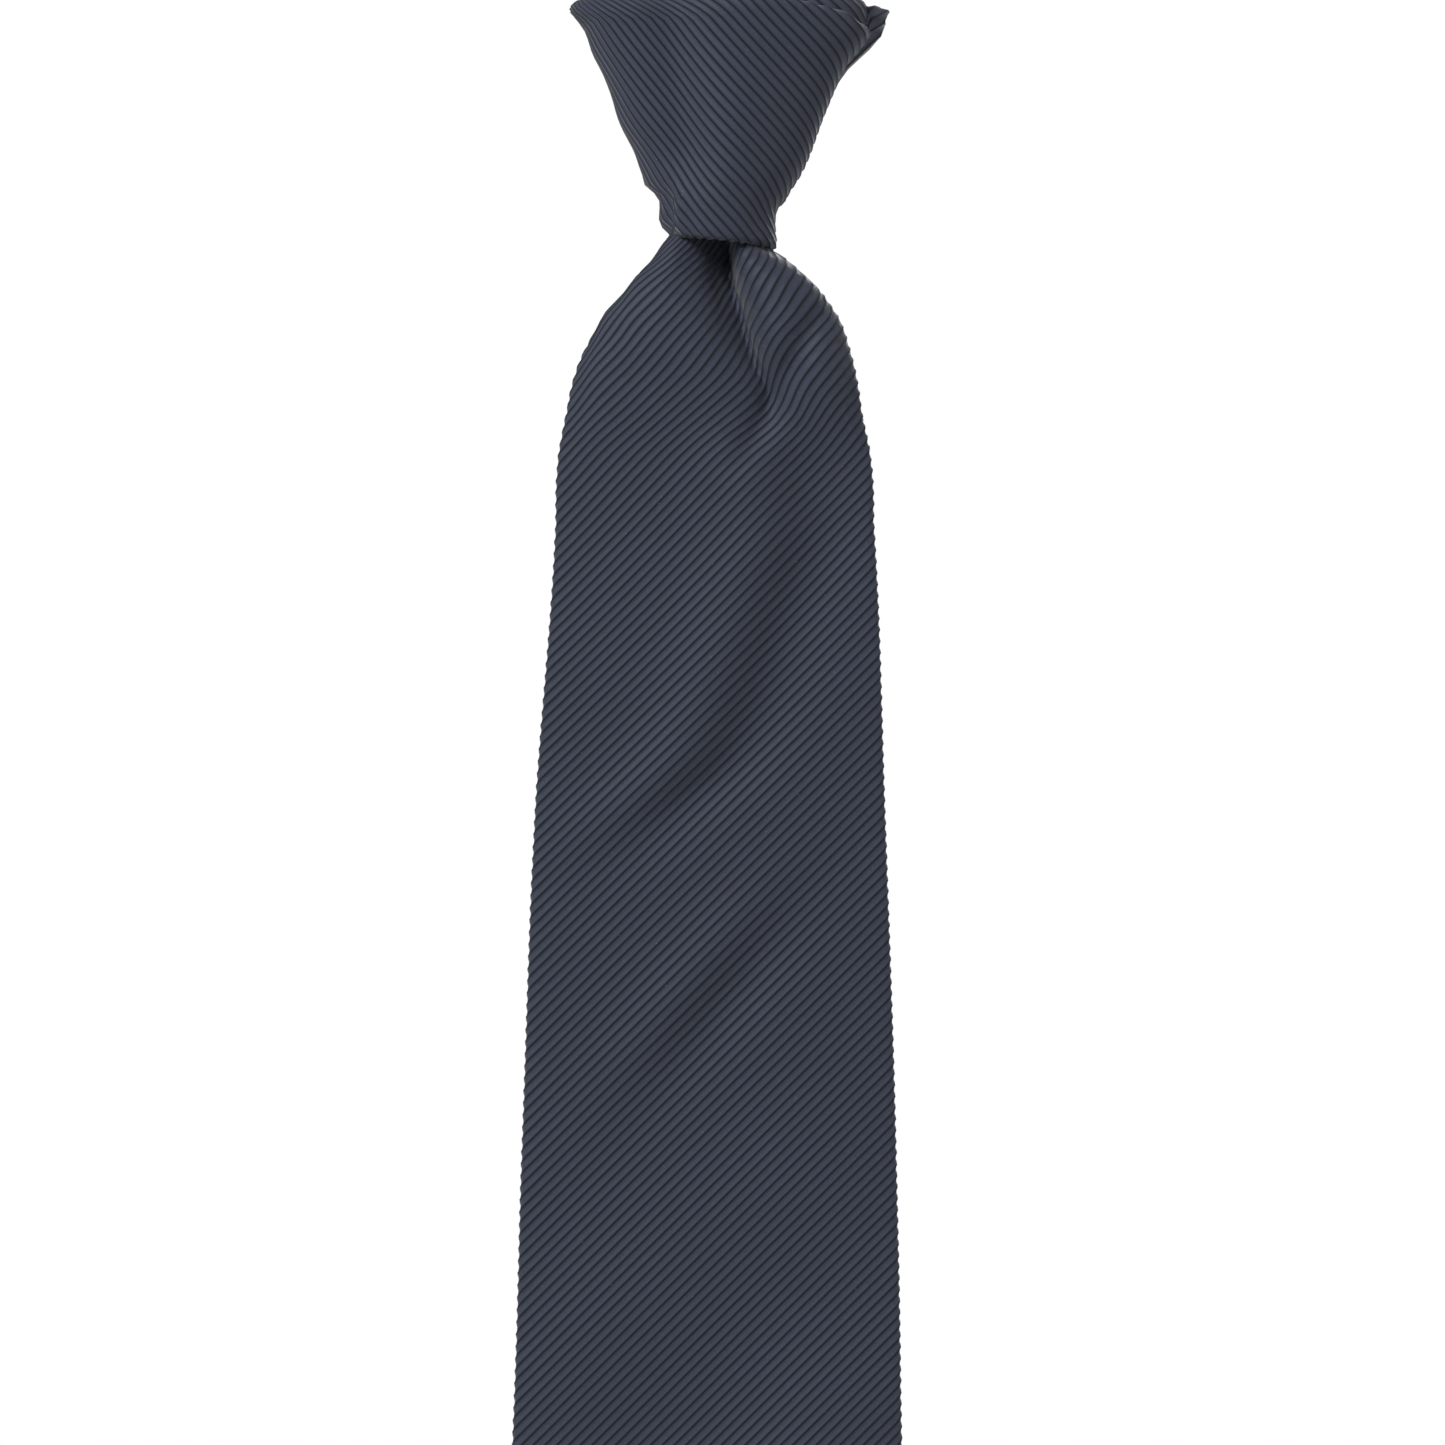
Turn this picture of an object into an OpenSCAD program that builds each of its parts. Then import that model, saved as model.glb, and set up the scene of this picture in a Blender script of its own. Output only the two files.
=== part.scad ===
// A self-tie necktie, tied and hanging from a closed neck loop.
// Millimetres. +Z is up, the front of the tie faces -Y, and the origin is the centre of
// the neck opening. Drops are measured downwards from the mouth of the knot.

/* [Neck loop] */
// Inside radius of the neck loop
neck_r = 65; // [55:0.5:80]
// Width of the folded band round the neck
band_w = 34; // [28:1:40]
// Thickness of the folded band
band_t = 3.4; // [2.8:0.1:5]
// Forward tilt of the neck loop, low at the front
neck_tilt = 20; // [10:1:28]
// Part of the circle that the band covers, the legs taking the rest
band_arc = 290; // [280:1:300]
// Distance from the loop's inside radius forward to the knot's centre
knot_ahead = 15; // [14:0.5:24]
// Clearance between the band's lowest edge and the top of the knot
knot_clear = 1.8; // [1:0.1:6]

/* [Knot] */
// Height of the knot
knot_h = 45; // [38:1:52]
// Width of the knot across its top
knot_top_w = 56; // [46:1:62]
// Width of the knot at its mouth
knot_mouth_w = 20; // [17:0.5:24]
// Depth of the knot at its top
knot_top_d = 26; // [24:1:34]
// Depth of the knot at its mouth
knot_mouth_d = 20; // [18:0.5:26]
// Share of the radius that one wrapped layer takes
layer_share = 0.14; // [0.1:0.01:0.14]

/* [Front blade] */
// Widest width of the front blade, where its point begins
blade_w = 83; // [70:1:100]
// Width of the front blade where its gathers have opened out
blade_top_w = 56; // [48:1:64]
// Length of the front blade, from the mouth of the knot to its point
blade_len = 440; // [380:1:530]
// Thickness of the folded front blade
blade_t = 4; // [3.4:0.1:5]
// Distance of the front blade's middle plane in front of the knot's centre
blade_ahead = 4; // [3:0.5:5]

/* [Tail blade] */
// Widest width of the tail, where its point begins
tail_w = 46; // [38:0.1:56]
// Width of the tail below the knot
tail_top_w = 35; // [30:1:40]
// Length of the tail, from the mouth of the knot to its point
tail_len = 290; // [265:1:350]
// Thickness of the folded tail
tail_t = 3.6; // [3:0.1:4]
// Free depth between the front blade and the tail
tail_gap = 2.7; // [2.2:0.1:3.4]

/* [Cloth and sewing] */
// Thickness of one layer of the outer cloth
cloth_t = 0.6; // [0.4:0.05:0.8]
// Thickness of the lining cloth in the points
tipping_t = 0.4; // [0.3:0.05:0.4]
// Width of the cloth turned in along the edges of a point
hem_w = 15; // [10:1:18]
// Length of the open back above a point, up to the bar tack
open_back = 118; // [100:1:130]
// Length of one slip stitch
stitch_l = 5; // [3:0.5:7]
// Spacing of the slip stitches
stitch_pitch = 13; // [9:0.5:20]
// Thickness of the sewing thread
thread_d = 0.5; // [0.4:0.05:0.8]

/* [Keeper and label] */
// Drop from the mouth of the knot to the top of the keeper loop
keeper_drop = 205; // [190:1:215]
// Height of the keeper loop
keeper_h = 20; // [12:1:26]
// Free width in the keeper loop beside the tail
keeper_ease_w = 4; // [2:0.5:8]
// Free depth in the keeper loop behind the tail
keeper_ease_d = 1.2; // [0.6:0.1:3]
// Width of the keeper's sewn ends
keeper_foot = 4; // [3:0.5:7]
// Width of the blank label
label_w = 34; // [26:1:44]
// Height of the blank label
label_h = 22; // [14:1:26]

/* [Hidden] */

$fn = 64;
navy = [0.16, 0.18, 0.24];
navy_light = [0.2, 0.22, 0.29];
lining_blue = [0.12, 0.14, 0.2];
wool_grey = [0.78, 0.76, 0.72];
thread_blue = [0.1, 0.12, 0.18];
label_blue = [0.22, 0.25, 0.34];

fit_gap = 0.1;            // between pieces that lie inside each other
lay_gap = 0.02;           // between thread and the cloth that it lies on
body_gap = 0.3;           // between soft pieces that move apart
band_low_z = -neck_r * sin(neck_tilt) - band_w / 2 * cos(neck_tilt);
mouth_z = band_low_z - knot_clear - knot_h;
knot_y = -neck_r - knot_ahead;
blade_y = knot_y - blade_ahead;
tail_y = blade_y + blade_t / 2 + tail_gap + tail_t / 2;
keeper_gap_w = tail_w + keeper_ease_w;
layer_gap = 0.01;         // share of the radius left between two wrapped layers
throat_l = 24;            // gathered cloth under the mouth, above the firm blade
spread_l = 16;            // further drop in which the blade reaches its full top width
throat_w = 0.9 * knot_mouth_w;
throat_t = 0.4 * knot_mouth_d;
strap_l = 80;             // tail strap under the mouth, above the firm tail
strap_mouth_w = 0.5 * knot_mouth_w;
strap_top_w = 0.45 * knot_top_w;
tack_w = 9;
tack_d = 1.2;
tail_open_back = open_back - 40;
seam_w = 1.4;
seam_t = 0.3;
seam_side = 100;          // angle from the front to each piecing seam
thread_loop_r = 4;
label_lift = thread_d + 0.2;

// ---- outlines ----

// Outline of a blade in width and drop, inset by a margin, and open at its top.
function blade_outline(top, top_w, full, full_w, wide, length, margin, past) =
    let(shoulder = length - wide / 2, tip = length - margin * sqrt(2))
    [
        [-top_w / 2 + margin, top - past],
        [-full_w / 2 + margin, full],
        [-wide / 2 + margin, shoulder - margin * (sqrt(2) - 1)],
        [0, tip],
        [wide / 2 - margin, shoulder - margin * (sqrt(2) - 1)],
        [full_w / 2 - margin, full],
        [top_w / 2 - margin, top - past]
    ];

// The open back above a point, where the lining shows.
function arrow_outline(wide, length, open_len, margin) =
    let(corner = length - wide / 2)
    [
        [0, length - open_len + 2.2 * margin],
        [-wide / 2 + hem_w + margin, corner + hem_w / 3],
        [0, length - hem_w * sqrt(2) - margin * sqrt(2)],
        [wide / 2 - hem_w - margin, corner + hem_w / 3]
    ];

// A flat sheet of an outline given in width and drop, its front face at y.
module hang(points, y, thick) {
    translate([0, y + thick, mouth_z])
        rotate([90, 0, 0])
            linear_extrude(thick)
                mirror([0, 1])
                    polygon(points);
}

// ---- lofting ----

// Closed solid through rings of points that run the same way round.
module loft(rings) {
    n = len(rings[0]);
    m = len(rings);
    sides = [
        for (k = [0:m - 2], i = [0:n - 1])
            let(j = (i + 1) % n)
            each [[k * n + i, k * n + j, (k + 1) * n + j], [k * n + i, (k + 1) * n + j, (k + 1) * n + i]]
    ];
    low_cap = [for (i = [1:n - 2]) [0, i + 1, i]];
    high_cap = [for (i = [1:n - 2]) [(m - 1) * n, (m - 1) * n + i, (m - 1) * n + i + 1]];
    polyhedron([for (r = rings) each r], concat(sides, low_cap, high_cap));
}

// ---- knot ----

function knot_rx(h) = (knot_mouth_w + (knot_top_w - knot_mouth_w) * h / knot_h) / 2;
function knot_ry(h) = (knot_mouth_d + (knot_top_d - knot_mouth_d) * h / knot_h) / 2;

// A point of the knot at a share of its radius; 90 degrees is the front.
function knot_point(h, angle, share) = [
    share * knot_rx(h) * cos(angle),
    knot_y - share * knot_ry(h) * sin(angle),
    mouth_z + h
];

// One wrapped layer of the knot: a curved sheet between two angles and two heights.
module wrap(from, to, inner, outer, low, high) {
    steps = 14;
    rows = 6;
    loft([
        for (k = [0:rows])
            let(h = low + (high - low) * k / rows)
            [
                each [for (i = [0:steps]) knot_point(h, to + (from - to) * i / steps, outer)],
                each [for (i = [0:steps]) knot_point(h, from + (to - from) * i / steps, inner)]
            ]
    ]);
}

outer_in = 1 - layer_share + layer_gap / 2;
middle_out = 1 - layer_share - layer_gap / 2;
middle_in = 1 - 2 * layer_share + layer_gap / 2;
inner_out = 1 - 2 * layer_share - layer_gap / 2;
inner_in = 1 - 3 * layer_share;

module knot_front_wrap() {
    color(navy) wrap(-8, 188, outer_in, 1, 0, knot_h);
}

module knot_back_wrap() {
    color(navy) wrap(190, 350, outer_in, 1, 0, knot_h);
}

module knot_left_turn() {
    color(navy_light) wrap(95, 250, middle_in, middle_out, 0, knot_h);
}

module knot_right_turn() {
    color(navy_light) wrap(-70, 85, middle_in, middle_out, 0, knot_h);
}

module knot_final_pass() {
    color(navy) wrap(30, 150, inner_in, inner_out, 0, knot_h);
}

// ---- neck loop ----

// The band's cross-section swept round the neck opening, shrunk by a margin all round.
module band_section(margin) {
    translate([neck_r + margin, -band_w / 2 + margin])
        square([band_t - 2 * margin, band_w - 2 * margin]);
}

module round_the_neck() {
    rotate([neck_tilt, 0, 0])
        rotate([0, 0, -90 + (360 - band_arc) / 2])
            rotate_extrude(angle = band_arc, $fn = 128)
                children();
}

module neck_band_shell() {
    color(navy)
        round_the_neck()
            difference() {
                band_section(0);
                band_section(cloth_t);
            }
}

module neck_band_interlining() {
    color(wool_grey)
        round_the_neck()
            band_section(cloth_t + fit_gap);
}

// The slanting seams that join the neck piece to the two blades' pieces.
module piecing_seams() {
    color(thread_blue)
        rotate([neck_tilt, 0, 0])
            for (side = [-1, 1])
                intersection() {
                    rotate_extrude($fn = 128)
                        translate([neck_r + band_t + lay_gap, -band_w / 2])
                            square([seam_t, band_w]);
                    rotate([0, 0, -90 + side * seam_side])
                        translate([neck_r, 0, 0])
                            rotate([45, 0, 0])
                                cube([4 * band_t, seam_w, 2 * band_w], center = true);
                }
}

// ---- legs of the loop ----

function tilted(p) = [
    p[0],
    p[1] * cos(neck_tilt) - p[2] * sin(neck_tilt),
    p[1] * sin(neck_tilt) + p[2] * cos(neck_tilt)
];

leg_angle = (360 - band_arc) / 2;

// Corner of the band's end face, on the right of the front.
function band_corner(out, up) =
    let(a = -90 + leg_angle - 0.1, r = neck_r + out * band_t)
    tilted([r * cos(a), r * sin(a), up * band_w / 2]);

// Corner of the leg's lower end, lying flat on top of the knot.
function leg_foot(across, deep) = [
    knot_top_w * (0.03 + 0.38 * across),
    knot_y + knot_top_d * (0.25 - 0.4 * deep),
    mouth_z + knot_h + body_gap + 0.5 * across
];

// The right leg, from the band's end to the top of the knot, its lower edge outermost.
module leg() {
    steps = 8;
    ends = [[0, 1], [1, 1], [1, -1], [0, -1]];
    feet = [[0, 0], [0, 1], [1, 1], [1, 0]];
    loft([
        for (k = [0:steps])
            let(t = k / steps)
            [
                for (i = [0:3])
                    (1 - t) * band_corner(ends[i][0], ends[i][1]) + t * leg_foot(feet[i][0], feet[i][1])
            ]
    ]);
}

module tail_leg() {
    color(navy) leg();
}

module blade_leg() {
    color(navy)
        mirror([1, 0, 0])
            leg();
}

// ---- front blade ----

blade_full = throat_l + spread_l;
blade_start_w = 0.93 * blade_top_w;
blade_cavity_t = blade_t - 2 * cloth_t;
blade_back = blade_y + blade_t / 2;

// Gathered cloth between the mouth of the knot and the firm blade.
module blade_throat() {
    steps = 8;
    corners = 24;
    color(navy)
        loft([
            for (k = [0:steps])
                let(
                    t = k / steps,
                    ease = t * t * (3 - 2 * t),
                    rx = (throat_w + (blade_start_w - throat_w) * ease) / 2,
                    ry = (throat_t + (blade_t - throat_t) * ease) / 2,
                    drop = body_gap + (throat_l - 2 * body_gap) * t
                )
                [
                    for (i = [0:corners - 1])
                        let(a = -360 * i / corners)
                        [rx * cos(a), blade_y + ry * sin(a), mouth_z - drop]
                ]
        ]);
}

function front_outline(margin, past) =
    blade_outline(throat_l, blade_start_w, blade_full, blade_top_w, blade_w, blade_len, margin, past);

module front_blade_shell() {
    color(navy)
        difference() {
            hang(front_outline(0, 0), blade_y - blade_t / 2, blade_t);
            hang(front_outline(cloth_t, 1), blade_y - blade_cavity_t / 2, blade_cavity_t);
            hang(arrow_outline(blade_w, blade_len, open_back, 0), blade_y, blade_t);
        }
}

module front_blade_interlining() {
    color(wool_grey)
        hang(
            front_outline(cloth_t + fit_gap, 0),
            blade_y - blade_cavity_t / 2 + fit_gap,
            blade_cavity_t - 2 * fit_gap
        );
}

module front_tipping() {
    color(lining_blue)
        hang(arrow_outline(blade_w, blade_len, open_back, fit_gap), blade_back - cloth_t + fit_gap, tipping_t);
}

// ---- sewing, shared by both blades ----

// A short thick bar of thread across the back seam.
module bar_tack(back_y, drop) {
    color(thread_blue)
        translate([0, back_y + tack_d / 2 + lay_gap, mouth_z - drop])
            rotate([0, 90, 0])
                cylinder(h = tack_w, d = tack_d, center = true, $fn = 24);
}

// A row of upright stitches down the back seam, ending in the loose loop of thread.
module slip_stitch(back_y, from, to) {
    color(thread_blue) {
        for (drop = [from:stitch_pitch:to - stitch_pitch])
            translate([0, back_y + thread_d / 2 + lay_gap, mouth_z - drop - stitch_l])
                cylinder(h = stitch_l, d = thread_d, $fn = 16);
        translate([0, back_y + thread_d / 2 + lay_gap, mouth_z - to - tack_d - thread_loop_r - thread_d])
            rotate([90, 0, 0])
                rotate_extrude($fn = 32)
                    translate([thread_loop_r, 0])
                        circle(d = thread_d, $fn = 16);
    }
}

module front_bar_tack() {
    bar_tack(blade_back, blade_len - open_back - 2);
}

module front_slip_stitch() {
    slip_stitch(blade_back, blade_full, blade_len - open_back - 2);
}

// ---- keeper loop and label ----

keeper_depth = tail_gap + tail_t + keeper_ease_d;

module keeper_loop() {
    outer_w = keeper_gap_w + 2 * cloth_t;
    color(navy_light)
        translate([0, blade_back + lay_gap, mouth_z - keeper_drop - keeper_h]) {
            difference() {
                translate([-outer_w / 2, 0, 0])
                    cube([outer_w, keeper_depth + cloth_t, keeper_h]);
                translate([-keeper_gap_w / 2, -1, -1])
                    cube([keeper_gap_w, keeper_depth + 1, keeper_h + 2]);
            }
            for (side = [-1, 1])
                translate([side * (outer_w + keeper_foot) / 2 - keeper_foot / 2, 0, 0])
                    cube([keeper_foot, cloth_t, keeper_h]);
        }
}

module keeper_stitches() {
    foot_x = keeper_gap_w / 2 + cloth_t + keeper_foot / 2;
    color(thread_blue)
        for (side = [-1, 1], k = [0:3])
            translate([
                side * foot_x,
                blade_back + 2 * lay_gap + cloth_t + thread_d / 2,
                mouth_z - keeper_drop - keeper_h * (k + 0.5) / 4 - keeper_h / 14
            ])
                cylinder(h = keeper_h / 7, d = thread_d, $fn = 16);
}

label_drop = keeper_drop + keeper_h + 8;

module blank_label() {
    color(label_blue)
        translate([-label_w / 2, blade_back + label_lift, mouth_z - label_drop - label_h])
            cube([label_w, tipping_t, label_h]);
}

module label_stitches() {
    color(thread_blue)
        for (side = [-1, 1], k = [0:4])
            translate([
                side * (label_w / 2 - 1.5),
                blade_back + label_lift + tipping_t + lay_gap + thread_d / 2,
                mouth_z - label_drop - label_h * (k + 0.5) / 5 - label_h / 16
            ])
                cylinder(h = label_h / 8, d = thread_d, $fn = 16);
}

// ---- tail ----

tail_back = tail_y + tail_t / 2;
tail_cavity_t = tail_t - 2 * cloth_t;

// The gathered strap that leads through the knot, and opens out below it.
module tail_strap() {
    color(navy)
        hang(
            [
                [-strap_top_w / 2, -knot_h + body_gap],
                [-strap_mouth_w / 2, -0.2 * knot_h],
                [-strap_mouth_w / 2, 0.1 * strap_l],
                [-tail_top_w / 2, strap_l - body_gap],
                [tail_top_w / 2, strap_l - body_gap],
                [strap_mouth_w / 2, 0.1 * strap_l],
                [strap_mouth_w / 2, -0.2 * knot_h],
                [strap_top_w / 2, -knot_h + body_gap]
            ],
            tail_y - tail_t / 2,
            tail_t
        );
}

function tail_outline(margin, past) =
    blade_outline(strap_l, tail_top_w, strap_l + 10, tail_top_w + 0.5, tail_w, tail_len, margin, past);

module tail_shell() {
    color(navy)
        difference() {
            hang(tail_outline(0, 0), tail_y - tail_t / 2, tail_t);
            hang(tail_outline(cloth_t, 1), tail_y - tail_cavity_t / 2, tail_cavity_t);
            hang(arrow_outline(tail_w, tail_len, tail_open_back, 0), tail_y, tail_t);
        }
}

module tail_interlining() {
    color(wool_grey)
        hang(
            tail_outline(cloth_t + fit_gap, 0),
            tail_y - tail_cavity_t / 2 + fit_gap,
            tail_cavity_t - 2 * fit_gap
        );
}

module tail_tipping() {
    color(lining_blue)
        hang(
            arrow_outline(tail_w, tail_len, tail_open_back, fit_gap),
            tail_back - cloth_t + fit_gap,
            tipping_t
        );
}

module tail_bar_tack() {
    bar_tack(tail_back, tail_len - tail_open_back - 2);
}

module tail_slip_stitch() {
    slip_stitch(tail_back, strap_l + 10, tail_len - tail_open_back - 2);
}

neck_band_shell();
neck_band_interlining();
piecing_seams();
tail_leg();
blade_leg();
knot_front_wrap();
knot_back_wrap();
knot_left_turn();
knot_right_turn();
knot_final_pass();
blade_throat();
front_blade_shell();
front_blade_interlining();
front_tipping();
front_bar_tack();
front_slip_stitch();
keeper_loop();
keeper_stitches();
blank_label();
label_stitches();
tail_strap();
tail_shell();
tail_interlining();
tail_tipping();
tail_bar_tack();
tail_slip_stitch();
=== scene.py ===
import math
import bmesh
import bpy
import numpy as np
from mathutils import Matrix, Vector


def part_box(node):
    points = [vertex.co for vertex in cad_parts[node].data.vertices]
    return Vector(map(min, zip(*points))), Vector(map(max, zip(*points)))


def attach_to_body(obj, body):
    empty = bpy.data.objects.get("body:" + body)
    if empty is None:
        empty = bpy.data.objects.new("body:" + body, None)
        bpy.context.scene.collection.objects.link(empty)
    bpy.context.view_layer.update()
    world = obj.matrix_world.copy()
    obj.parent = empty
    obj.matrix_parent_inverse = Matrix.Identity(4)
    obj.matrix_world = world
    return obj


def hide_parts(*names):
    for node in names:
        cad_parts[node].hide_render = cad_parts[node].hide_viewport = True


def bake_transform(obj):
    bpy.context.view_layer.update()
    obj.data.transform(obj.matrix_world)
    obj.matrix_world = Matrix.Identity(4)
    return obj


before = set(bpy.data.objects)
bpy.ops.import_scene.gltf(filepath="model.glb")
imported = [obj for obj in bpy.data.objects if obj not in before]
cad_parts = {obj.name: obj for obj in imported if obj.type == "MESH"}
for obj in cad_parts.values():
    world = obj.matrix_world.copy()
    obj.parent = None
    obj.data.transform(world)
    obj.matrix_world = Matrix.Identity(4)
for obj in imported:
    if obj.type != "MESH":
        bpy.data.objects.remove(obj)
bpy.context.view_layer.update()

# ---- sizes, in millimetres

MM = 0.001


def node_box(name):
    """Lowest and highest corner of a CAD node in millimetres."""
    low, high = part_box(name)
    return [c / MM for c in low], [c / MM for c in high]


knot_low, knot_high = node_box("knot_front_wrap")
blade_low, blade_high = node_box("front_blade_shell")
tail_low, tail_high = node_box("tail_shell")
keeper_low, keeper_high = node_box("keeper_loop")
label_low, label_high = node_box("blank_label")

MOUTH_Z = knot_low[2]
KNOT_Y = (knot_low[1] + node_box("knot_back_wrap")[1][1]) / 2
BLADE_FRONT_Y = blade_low[1]
BLADE_T = blade_high[1] - blade_low[1]
BLADE_LEN = MOUTH_Z - blade_low[2]
BLADE_W = blade_high[0] - blade_low[0]
TAIL_FRONT_Y = tail_low[1]
TAIL_T = tail_high[1] - tail_low[1]
TAIL_LEN = MOUTH_Z - tail_low[2]
TAIL_W = tail_high[0] - tail_low[0]
HEM_W = 15.0
OPEN_BACK = 118.0
TAIL_OPEN_BACK = 78.0
NECK_R = 65.0
BAND_W = 34.0
BAND_T = 3.4
NECK_TILT = math.radians(20.0)

RIB_PITCH = 1.5
RIB_LINES = [0.0, 0.15, 0.38, 0.62, 0.85]
RIB_HEIGHTS = [0.0, 0.68, 1.0, 1.0, 0.68]
RIB_RELIEF = 0.23
SMALL_STEP = 0.05
FELT_T = 0.6
ACROSS = np.array([1.0, 0.0])
DOWN = np.array([0.0, 1.0])
SIDES = (1, -1)

# ---- camera

scene = bpy.context.scene
scene.view_settings.view_transform = "Standard"
LENS = 150.0
VIEW_W = 260.0
VIEW_X = 1.53
VIEW_Z = MOUTH_Z + 44.1 - VIEW_W / 2
camera_data = bpy.data.cameras.new("camera")
camera_data.lens = LENS
camera_data.sensor_width = 36.0
camera_data.clip_end = 20.0
camera = bpy.data.objects.new("camera", camera_data)
camera.location = Vector((VIEW_X, BLADE_FRONT_Y - VIEW_W * LENS / 36.0, VIEW_Z)) * MM
camera.rotation_euler = (math.radians(90.0), 0.0, 0.0)
scene.collection.objects.link(camera)
scene.camera = camera


# ---- curves and folds

def smooth_way(u, a, b, leave, arrive):
    """A smooth way from a to b as u goes from 0 to 1, with the slopes that it leaves and arrives at."""
    return (
        (1 + 2 * u) * (1 - u) ** 2 * a
        + u * (1 - u) ** 2 * leave
        + u * u * (3 - 2 * u) * b
        + u * u * (u - 1) * arrive
    )


def smooth_curve(x, xs, ys):
    """Values at x of a smooth curve through the points (xs, ys), level beyond its ends."""
    xs = np.asarray(xs, float)
    ys = np.asarray(ys, float)
    slope = np.gradient(ys, xs, axis=0)
    x = np.clip(x, xs[0], xs[-1])
    i = np.clip(np.searchsorted(xs, x, side="right") - 1, 0, len(xs) - 2)
    h = xs[i + 1] - xs[i]
    u = (x - xs[i]) / h
    if ys.ndim > 1:
        h = h[:, None]
        u = u[:, None]
    return smooth_way(u, ys[i], ys[i + 1], h * slope[i], h * slope[i + 1])


def ease(x, low, high):
    """0 below low, 1 above high, turning smoothly between them."""
    u = np.clip((x - low) / (high - low), 0.0, 1.0)
    return u * u * (3 - 2 * u)


def hump(x, middle, width):
    """1 at the middle, falling smoothly to 0 on both sides."""
    return np.exp(-((x - middle) / width) ** 2)


def unit(v):
    return v / np.maximum(np.linalg.norm(v, axis=-1, keepdims=True), 1e-9)


def fold(flat, depth, turn, at, out, radius):
    """Folds flat cloth over a line through `at`, whose unit normal `out` points past the fold.

    Returns the new place in the plane, the depth behind the face, and which way the cloth faces."""
    at = np.asarray(at, float)
    out = np.asarray(out, float)
    past = (flat - at) @ out + radius
    bend = np.clip(past / radius, 0.0, math.pi)
    back = np.maximum(past - math.pi * radius, 0.0)
    moved = np.where(past > 0, radius * np.sin(bend) - back, past)
    flat = flat + out * (moved - past)[:, None]
    depth = depth + turn * radius * (1 - np.cos(bend))
    turn = np.where(back > 0, -turn, turn)
    return flat, depth, turn


def unfold(point, at, out, radius):
    """Where a point of the folded layer lies while the cloth is still flat."""
    at = np.asarray(at, float)
    out = np.asarray(out, float)
    point = np.asarray(point, float)
    gap = (point - at) @ out
    return point + out * ((math.pi - 2) * radius - 2 * gap)


def line_normal(a, b):
    """Unit normal on the left of the way from a to b, in width and drop."""
    d = np.asarray(b, float) - np.asarray(a, float)
    d = d / np.linalg.norm(d)
    return np.array([d[1], -d[0]])


def off_surface(surface, flat, depth):
    """Points at a depth behind a surface given as a function of flat places."""
    p = surface(flat)
    along = surface(flat + np.array([SMALL_STEP, 0.0])) - p
    down = surface(flat + np.array([0.0, SMALL_STEP])) - p
    face = unit(np.cross(down, along))
    return p - face * np.asarray(depth).reshape(-1, 1)


# ---- cloth

def inside(points, outline):
    """Which flat points lie in a closed outline."""
    x = points[:, 0]
    y = points[:, 1]
    hit = np.zeros(len(points), bool)
    n = len(outline)
    for i in range(n):
        ax, ay = outline[i]
        bx, by = outline[(i + 1) % n]
        if ay == by:
            continue
        crosses = (ay > y) != (by > y)
        hit ^= crosses & (x < (bx - ax) * (y - ay) / (by - ay) + ax)
    return hit


def flat_area(outline):
    """Area of a closed flat outline."""
    x = np.array([p[0] for p in outline])
    y = np.array([p[1] for p in outline])
    return abs(np.dot(x, np.roll(y, -1)) - np.dot(y, np.roll(x, -1))) / 2


def flat_grid(name, outline, across, along, turned):
    """A flat mesh of cells along turned lines, wide enough for the outline."""
    corner = np.array(outline, float)
    c, s = math.cos(turned), math.sin(turned)
    u, v = np.meshgrid(across, along, indexing="ij")
    flat = np.stack([c * v - s * u, s * v + c * u], axis=-1)
    keep = np.zeros((len(across) - 1, len(along) - 1), bool)
    middle = (flat[:-1, :-1] + flat[1:, 1:]) / 2
    side_u = (flat[1:, :-1] - flat[:-1, :-1]) * 0.7
    side_v = (flat[:-1, 1:] - flat[:-1, :-1]) * 0.7
    for i in (-1, 0, 1):
        for j in (-1, 0, 1):
            probe = middle + i * side_u + j * side_v
            keep |= inside(probe.reshape(-1, 2), corner).reshape(keep.shape)
    i, j = np.nonzero(keep)
    n = len(along)
    quads = np.stack([i * n + j, i * n + j + 1, (i + 1) * n + j + 1, (i + 1) * n + j], axis=1)
    used, quads = np.unique(quads, return_inverse=True)
    quads = quads.reshape(-1, 4)
    points = flat.reshape(-1, 2)[used]
    mesh = bpy.data.meshes.new(name)
    mesh.from_pydata(np.c_[points, np.zeros(len(points))].tolist(), [], quads[:, ::-1].tolist())
    return mesh


def trim(mesh, outline, cuts, edges):
    """Cuts a flat mesh along lines and to its outline."""
    bm = bmesh.new()
    bm.from_mesh(mesh)
    lines = list(cuts)
    n = len(outline)
    for i in range(n) if edges is None else edges:
        a = np.array(outline[i])
        b = np.array(outline[(i + 1) % n])
        lines.append((a, line_normal(a, b)))
    for at, out in lines:
        bmesh.ops.bisect_plane(
            bm,
            geom=bm.verts[:] + bm.edges[:] + bm.faces[:],
            dist=1e-4,
            plane_co=(at[0], at[1], 0.0),
            plane_no=(out[0], out[1], 0.0),
        )
    middles = np.array([f.calc_center_median()[:2] for f in bm.faces])
    kept = inside(middles, outline)
    spare = [f for f, k in zip(bm.faces[:], kept) if not k]
    bmesh.ops.delete(bm, geom=spare, context="FACES")
    bm.to_mesh(mesh)
    bm.free()


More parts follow.
